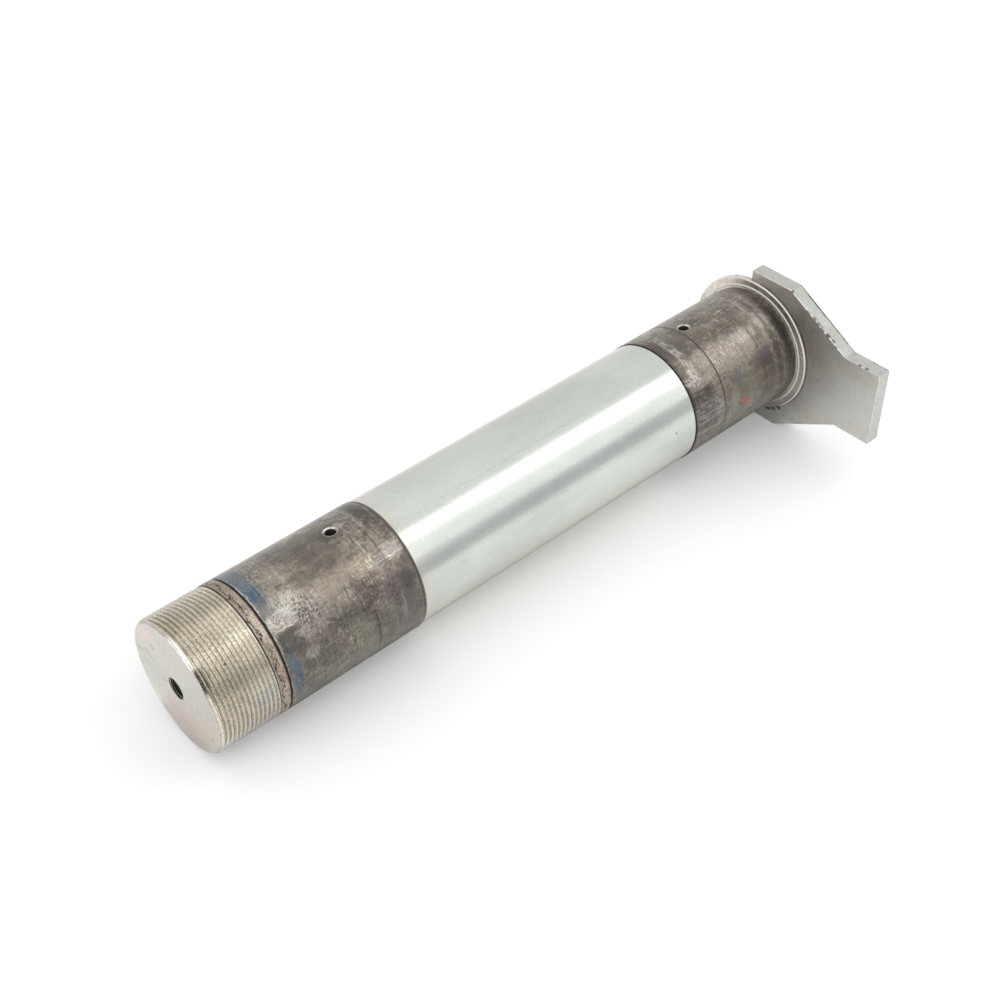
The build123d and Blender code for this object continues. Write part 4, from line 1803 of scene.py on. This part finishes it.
REAR_MARKS = (
    Mark(262.5, -50.0, 0.6, ALL_ROUND, BURNT, 0.9, ragged=0.9, square=True),
    Mark(295.5, -50.0, 15.0, 16.0, BEIGE, 0.85, edge=0.3, ragged=0.8),
    Mark(276.0, -57.0, 6.0, 8.5, BEIGE, 0.8, edge=0.4, ragged=0.7),
    Mark(306.5, -59.0, 7.2, 6.0, WORN, 0.5, edge=0.15, ragged=0.3, square=True),
    Mark(288.5, -8.0, 3.2, 15.0, (0.29, 0.275, 0.215), 0.75, edge=0.5),
    Mark(300.0, -14.0, 9.0, 16.0, OLIVE, 0.5, edge=0.6),
    Mark(292.0, -28.0, 4.5, 6.0, (0.19, 0.182, 0.178), 0.65),
    Mark(315.0, -31.0, 10.0, 10.0, PURPLE, 0.9, edge=0.25, ragged=0.6),
    Mark(313.5, -28.0, 5.0, 6.5, (0.09, 0.08, 0.085), 0.6, edge=0.2, ragged=0.8),
    Mark(267.0, -9.0, 5.0, 9.0, BURNT, 0.65, edge=0.15, ragged=0.5, square=True),
    Mark(275.0, -9.0, 3.2, 11.0, BURNT, 0.7, edge=0.2, ragged=0.9),
    Mark(269.3, -69.0, 2.4, 31.0, BRIGHT, 0.85, grain=Grain.AROUND, ragged=0.9),
    Mark(267.0, -47.0, 5.5, 4.5, BRIGHT, 0.8, edge=0.4, grain=Grain.SPECKLED, ragged=1.6),
    Mark(266.0, -45.0, 4.0, 1.2, WHITISH, 0.5, edge=0.6, ragged=0.8),
    Mark(274.0, -54.0, 2.2, 9.0, DUSKY, 0.8, grain=Grain.SLANTED, ragged=0.8),
    Mark(274.0, -82.0, 3.0, 12.0, DUSKY, 0.6),
    Mark(264.5, -80.0, 2.2, 30.0, BURNT, 0.5, edge=0.4, ragged=1.0),
    Mark(270.0, -32.0, 9.0, 6.0, BURNT, 0.85, grain=Grain.LENGTHWISE),
    Mark(271.0, -16.0, 10.0, 12.0, BRIGHT, 0.65, grain=Grain.LENGTHWISE),
    Mark(270.0, -22.0, 8.0, 11.0, BURNT, 0.75, grain=Grain.SLANTED, ragged=0.9),
    Mark(273.5, -31.0, 3.4, 5.0, (0.07, 0.058, 0.052), 0.7, edge=0.3, ragged=1.2),
    Mark(270.0, -36.5, 9.0, 0.6, BURNT, 0.8, ragged=0.4),
    Mark(270.0, -27.0, 9.0, 0.5, BURNT, 0.7, ragged=0.4),
    Mark(271.0, -21.0, 9.0, 0.5, BURNT, 0.6, ragged=0.4),
    Mark(271.5, 4.8, 9.0, 0.6, WORN, 0.8, ragged=0.5),
    Mark(277.5, -15.0, 3.0, 20.0, WORN, 0.5, grain=Grain.AROUND),
    Mark(281.5, -58.0, 0.4, 60.0, (0.06, 0.05, 0.045), 0.95, ragged=0.4, square=True),
    Mark(293.0, -93.5, 2.4, 1.6, WHITISH, 0.7, grain=Grain.SPECKLED, ragged=0.6),
    Mark(306.0, -92.2, 3.3, 0.6, BRIGHT, 0.8),
    Mark(320.5, -92.2, 4.5, 0.6, BRIGHT, 0.85),
    Mark(298.0, -90.0, 6.0, 3.5, BURNT, 0.6, grain=Grain.SPECKLED, ragged=0.8),
    Mark(291.0, -97.0, 4.0, 6.0, BURNT, 0.6, ragged=1.1),
    Mark(280.5, -98.0, 3.0, 7.0, BURNT, 0.5, ragged=1.1),
    Mark(286.0, -97.0, 3.15, 6.0, BARE, 0.7, edge=0.4, ragged=0.6, ring=0.05),
    Mark(293.4, -4.2, 2.4, 2.2, (0.42, 0.115, 0.085), 1.0, edge=0.2, ragged=1.0),
    Mark(297.4, 1.0, 2.6, 2.0, (0.4, 0.15, 0.12), 0.9, edge=0.2, ragged=1.0),
    Mark(299.8, 7.5, 1.6, 2.4, (0.36, 0.17, 0.14), 0.8, edge=0.2, ragged=1.0),
    Mark(291.2, -3.0, 0.8, 2.6, (0.13, 0.035, 0.03), 0.95, edge=0.2, ragged=0.8),
    Mark(294.8, -1.4, 1.6, 0.8, (0.16, 0.04, 0.035), 0.8, edge=0.3, ragged=0.8),
    Mark(310.2, -50.0, 0.8, 90.0, DUSKY, 0.7),
    Mark(317.8, -50.0, 1.2, 90.0, WORN, 0.65, grain=Grain.AROUND),
    Mark(320.6, -64.0, 4.0, 8.0, WORN, 0.8, edge=0.2, ragged=0.9),
    Mark(321.0, -50.0, 0.7, 90.0, DUSKY, 0.8),
    Mark(323.5, -40.0, 0.8, 70.0, WORN, 0.65, grain=Grain.AROUND),
    # Darker band in the relief next to the collar: painted shade.
    Mark(328.0, -50.0, 3.2, 42.0, BURNT, 0.85, edge=0.35, ragged=0.9),
    Mark(328.0, -46.0, 2.0, 18.0, (0.04, 0.034, 0.036), 0.7, edge=0.4, ragged=0.9),
    Mark(328.0, -106.0, 2.6, 20.0, (0.16, 0.137, 0.12), 0.6, edge=0.4, ragged=0.6),
    Mark(328.0, 8.0, 2.6, 24.0, DUSKY, 0.7, edge=0.4, ragged=0.6),
)
COLLAR_MARKS = (
    # Painted light on the collar's top-left, where it faces the light; the small dark spot after it
    # is a real mark.
    Mark(332.0, -135.0, 6.0, 32.0, (0.78, 0.73, 0.65), 0.95, edge=0.4, ragged=0.3),
    Mark(335.0, -113.0, 1.2, 1.2, BURNT, 0.8, ragged=0.1),
)
FACE_MARKS = (
    *COLLAR_MARKS,
    # Painted light: the collar face lighter on the tongue's side and underneath, where the bar
    # shades it.
    Mark(332.3, 8.0, 6.0, 36.0, (0.66, 0.62, 0.57), 0.85, edge=0.6, ragged=0.3),
    Mark(332.3, 50.0, 6.0, 36.0, (0.82, 0.78, 0.73), 0.9, edge=0.4, ragged=0.3),
)
# Dims the ring's painted highlight on its lower side.
RING_MARKS = (Mark(332.3, 60.0, 6.0, 26.0, (0.42, 0.4, 0.37), 0.85, edge=0.6, ragged=0.3),)
RIM_MARKS = (
    *COLLAR_MARKS,
    # The rim's side is darker where it faces the plate: partly oil, partly painted shade.
    Mark(333.5, -10.0, 4.0, 82.0, (0.1, 0.088, 0.078), 0.85, edge=0.15, ragged=0.1),
)
COLLAR_EDGE_MARKS = (
    # A painted shadow where the collar's lower edge meets the plate.
    Mark(332.3, 61.0, 3.0, 12.5, (0.022, 0.019, 0.018), 1.0, edge=0.2, ragged=0.2, square=True),
)
PLATE_MARKS = (
    # A soft darker patch on the face near the collar's upper tongue side: painted reflection of the
    # bar.
    Mark(-27.0, 22.0, 8.0, 10.0, (0.3, 0.275, 0.225), 0.25, edge=0.7, ragged=0.2),
    Mark(-38.0, 16.0, 7.0, 9.0, (0.5, 0.44, 0.36), 0.5, edge=0.7, ragged=0.4),
    # Painted shadow in the gap round the collar, with three short painted shadows beneath it.
    Mark(0.0, 0.0, 35.35, 35.35, BURNT, 0.45, edge=0.5, ragged=0.6, ring=0.008),
    Mark(-15.0, -32.5, 1.8, 0.8, BURNT, 0.9, ragged=0.3, square=True),
    Mark(-18.5, -30.7, 1.6, 0.9, BURNT, 0.9, ragged=0.3, square=True),
    Mark(-21.7, -28.5, 1.4, 1.0, BURNT, 0.8, ragged=0.3, square=True),
    # Lighter patches on the face: painted light.
    Mark(-9.0, 34.0, 9.0, 5.0, PAINTED_SHEEN, 0.7, edge=0.7, ragged=0.3),
    Mark(-62.0, -12.0, 11.0, 9.0, PAINTED_SHEEN, 0.35, edge=0.6, ragged=1.2),
    Mark(-50.0, 5.0, 3.0, 1.5, (0.72, 0.71, 0.69), 0.5, grain=Grain.SPECKLED),
    Mark(-37.0, -31.0, 9.0, 1.6, (0.4, 0.38, 0.35), 0.4, edge=0.7),
)
BURR_AND_HIGHLIGHT_MARKS = (
    # Brighter stretches of the front edges are painted highlight; the dark dots are nicks.
    Mark(-6.0, 40.0, 13.0, 1.4, (0.6, 0.6, 0.57), 0.85, edge=0.15, ragged=0.2, square=True),
    Mark(-75.0, -2.0, 1.4, 19.0, (0.66, 0.66, 0.63), 0.8, edge=0.2, ragged=0.3, square=True),
    Mark(-58.0, 20.4, 4.5, 1.6, (0.55, 0.55, 0.52), 0.6, edge=0.2, ragged=0.8, square=True),
    Mark(-20.5, 39.4, 0.8, 0.8, BURNT, 0.95, ragged=0.3),
    Mark(-31.0, 33.6, 1.1, 1.0, BURNT, 0.8, ragged=0.6),
    Mark(-37.6, 30.0, 0.9, 1.0, BURNT, 0.9, ragged=0.6),
    Mark(-40.6, 28.2, 0.9, 1.0, BURNT, 0.9, ragged=0.6),
    Mark(-34.7, 31.6, 1.2, 1.2, BURNT, 0.95, ragged=0.8),
    Mark(-44.0, 26.4, 1.6, 1.2, BURNT, 0.95, ragged=0.8),
    Mark(-49.0, 23.4, 1.0, 0.8, BURNT, 0.8, ragged=0.8),
    Mark(-63.0, 20.0, 1.0, 0.8, BURNT, 0.8, ragged=0.8),
    Mark(-67.0, 20.0, 1.1, 0.8, BURNT, 0.9, ragged=0.8),
    Mark(-70.5, 20.0, 4.0, 1.0, (0.35, 0.34, 0.32), 0.6, ragged=0.5),
)
EDGE_MARKS = (
    Mark(334.1, -17.5, 0.6, 0.25, BURNT, 0.8, ragged=0.8, square=True),
    Mark(334.0, -16.6, 0.8, 0.25, BURNT, 0.9, ragged=0.8, square=True),
    Mark(340.2, -16.2, 0.7, 0.9, BURNT, 0.8, grain=Grain.SPECKLED, ragged=0.9),
)
TAPER_MARKS = (
    Mark(340.55, -42.0, 0.35, 21.0, (0.04, 0.036, 0.033), 1.0, edge=0.3, ragged=1.5, square=True),
    Mark(340.4, -47.0, 0.5, 15.0, BURNT, 0.9, grain=Grain.SPECKLED, ragged=0.6),
    Mark(334.3, -38.0, 0.5, 9.0, BURNT, 0.5, grain=Grain.SPECKLED, ragged=0.8),
    Mark(334.0, -62.6, 0.7, 1.0, BURNT, 0.9, ragged=0.5, square=True),
    Mark(334.1, -42.3, 0.8, 1.1, BURNT, 0.95, ragged=0.9, square=True),
    Mark(334.0, -37.3, 0.6, 1.3, BURNT, 0.95, ragged=0.9, square=True),
    Mark(334.0, -31.1, 0.7, 1.6, BURNT, 0.95, ragged=0.9, square=True),
    Mark(334.1, -27.6, 0.9, 0.9, BURNT, 0.9, ragged=0.9, square=True),
    Mark(337.0, -44.0, 2.5, 20.0, (0.33, 0.33, 0.31), 0.35, grain=Grain.SPECKLED),
)

PLATE_FINISHES = {
    PlateZone.FLAT: CutFaceFinish(
        "plate_face",
        (0.617, 0.59, 0.55),
        (0.665, 0.65, 0.612),
        0.36,
        cloud_size=40.0,
        spots=0.05,
        flat=True,
        marks=PLATE_MARKS,
    ),
    PlateZone.SIDE: CutFaceFinish(
        "plate_edge",
        (0.53, 0.53, 0.49),
        (0.56, 0.565, 0.535),
        0.4,
        0.4,
        (120.0, 2600.0, 2600.0),
        spots=0.12,
        marks=EDGE_MARKS,
    ),
    PlateZone.TAPER: CutFaceFinish(
        "plate_taper", (0.4, 0.4, 0.375), (0.45, 0.455, 0.43), 0.42, marks=TAPER_MARKS
    ),
    # The front edges are near white and barely metallic: burred edges with a painted highlight.
    PlateZone.FRONT_EDGE: CutFaceFinish(
        "plate_burr_and_highlight",
        (0.92, 0.93, 0.9),
        (0.86, 0.86, 0.83),
        0.4,
        metallic=0.2,
        fleck=0.15,
        spots=0.2,
        flat=True,
        marks=BURR_AND_HIGHLIGHT_MARKS,
    ),
    PlateZone.FAR_EDGE: CutFaceFinish(
        "plate_far_edge", (0.2, 0.2, 0.185), (0.34, 0.34, 0.31), 0.4, fleck=0.3, spots=0.8
    ),
}
WELD = WeldFinish()
BAR_FINISHES = {
    Zone.END_FACE: CutFaceFinish(
        "end_face",
        (0.585, 0.546, 0.51),
        (0.565, 0.55, 0.492),
        0.32,
        0.2,
        cloud_size=30.0,
        flat=True,
        marks=END_MARKS,
    ),
    # Thread zinc: its top and lower tones are darker than its base, painted shade.
    Zone.THREAD: ZincFinish(
        "thread_zinc",
        (0.645, 0.605, 0.52),
        (0.485, 0.45, 0.385),
        (0.56, 0.54, 0.495),
        0.25,
        fleck=0.2,
        groove_shade=0.1,
        upper_start=-114.0,
        upper_end=-134.0,
        marks=THREAD_MARKS,
    ),
    Zone.BAND: BandFinish(marks=BAND_MARKS),
    Zone.GROOVE: SootFinish("groove_scale"),
    # The front bearing gets a stronger painted sheen on top.
    Zone.FRONT_BEARING: BearingFinish("front_bearing_steel", top_sheen=1.45, marks=FRONT_MARKS),
    Zone.MIDDLE: ZincFinish(marks=MIDDLE_MARKS),
    Zone.REAR_BEARING: BearingFinish("rear_bearing_steel", marks=REAR_MARKS),
    Zone.COLLAR_FACE: BearingFinish(
        "collar_face_steel",
        (0.24, 0.212, 0.185),
        metallic=0.5,
        roughness=0.5,
        top_sheen=1.0,
        marks=FACE_MARKS,
    ),
    Zone.COLLAR_RIM: CutFaceFinish(
        "collar_rim_steel", (0.55, 0.5, 0.43), (0.6, 0.55, 0.47), 0.4, marks=RIM_MARKS
    ),
    Zone.PORT: PortFinish(),
    Zone.OUTLET_RIM: CutFaceFinish(
        "outlet_rim", (0.6, 0.59, 0.56), (0.34, 0.32, 0.29), 0.35, cloud_size=300.0
    ),
    # The outlet bores are near black: painted shade inside the holes.
    Zone.OUTLET_BORE: SootFinish("outlet_bore", (0.05, 0.042, 0.038)),
    # The inner ring of the collar face is near white and not metallic: a painted highlight.
    Zone.COLLAR_RING: CutFaceFinish(
        "collar_ring_steel",
        (0.98, 0.96, 0.92),
        (0.92, 0.89, 0.84),
        0.4,
        metallic=0.0,
        marks=RING_MARKS,
    ),
    # The collar's front chamfer is pale: a painted highlight.
    Zone.COLLAR_EDGE: CutFaceFinish(
        "collar_edge_steel",
        (0.8, 0.77, 0.72),
        (0.7, 0.66, 0.6),
        0.35,
        metallic=0.4,
        marks=COLLAR_EDGE_MARKS,
    ),
    Zone.JOINT: SootFinish("joint_scale", (0.06, 0.054, 0.048), marks=JOINT_MARKS),
}


def main() -> None:
    """Builds the pin's pieces in order, then the studio."""
    logging.basicConfig(level=logging.INFO, format="%(message)s")
    TurnedBar().build()
    LockPlate().build()
    WeldBead().build()
    Studio().build()


if __name__ == "__main__":
    main()
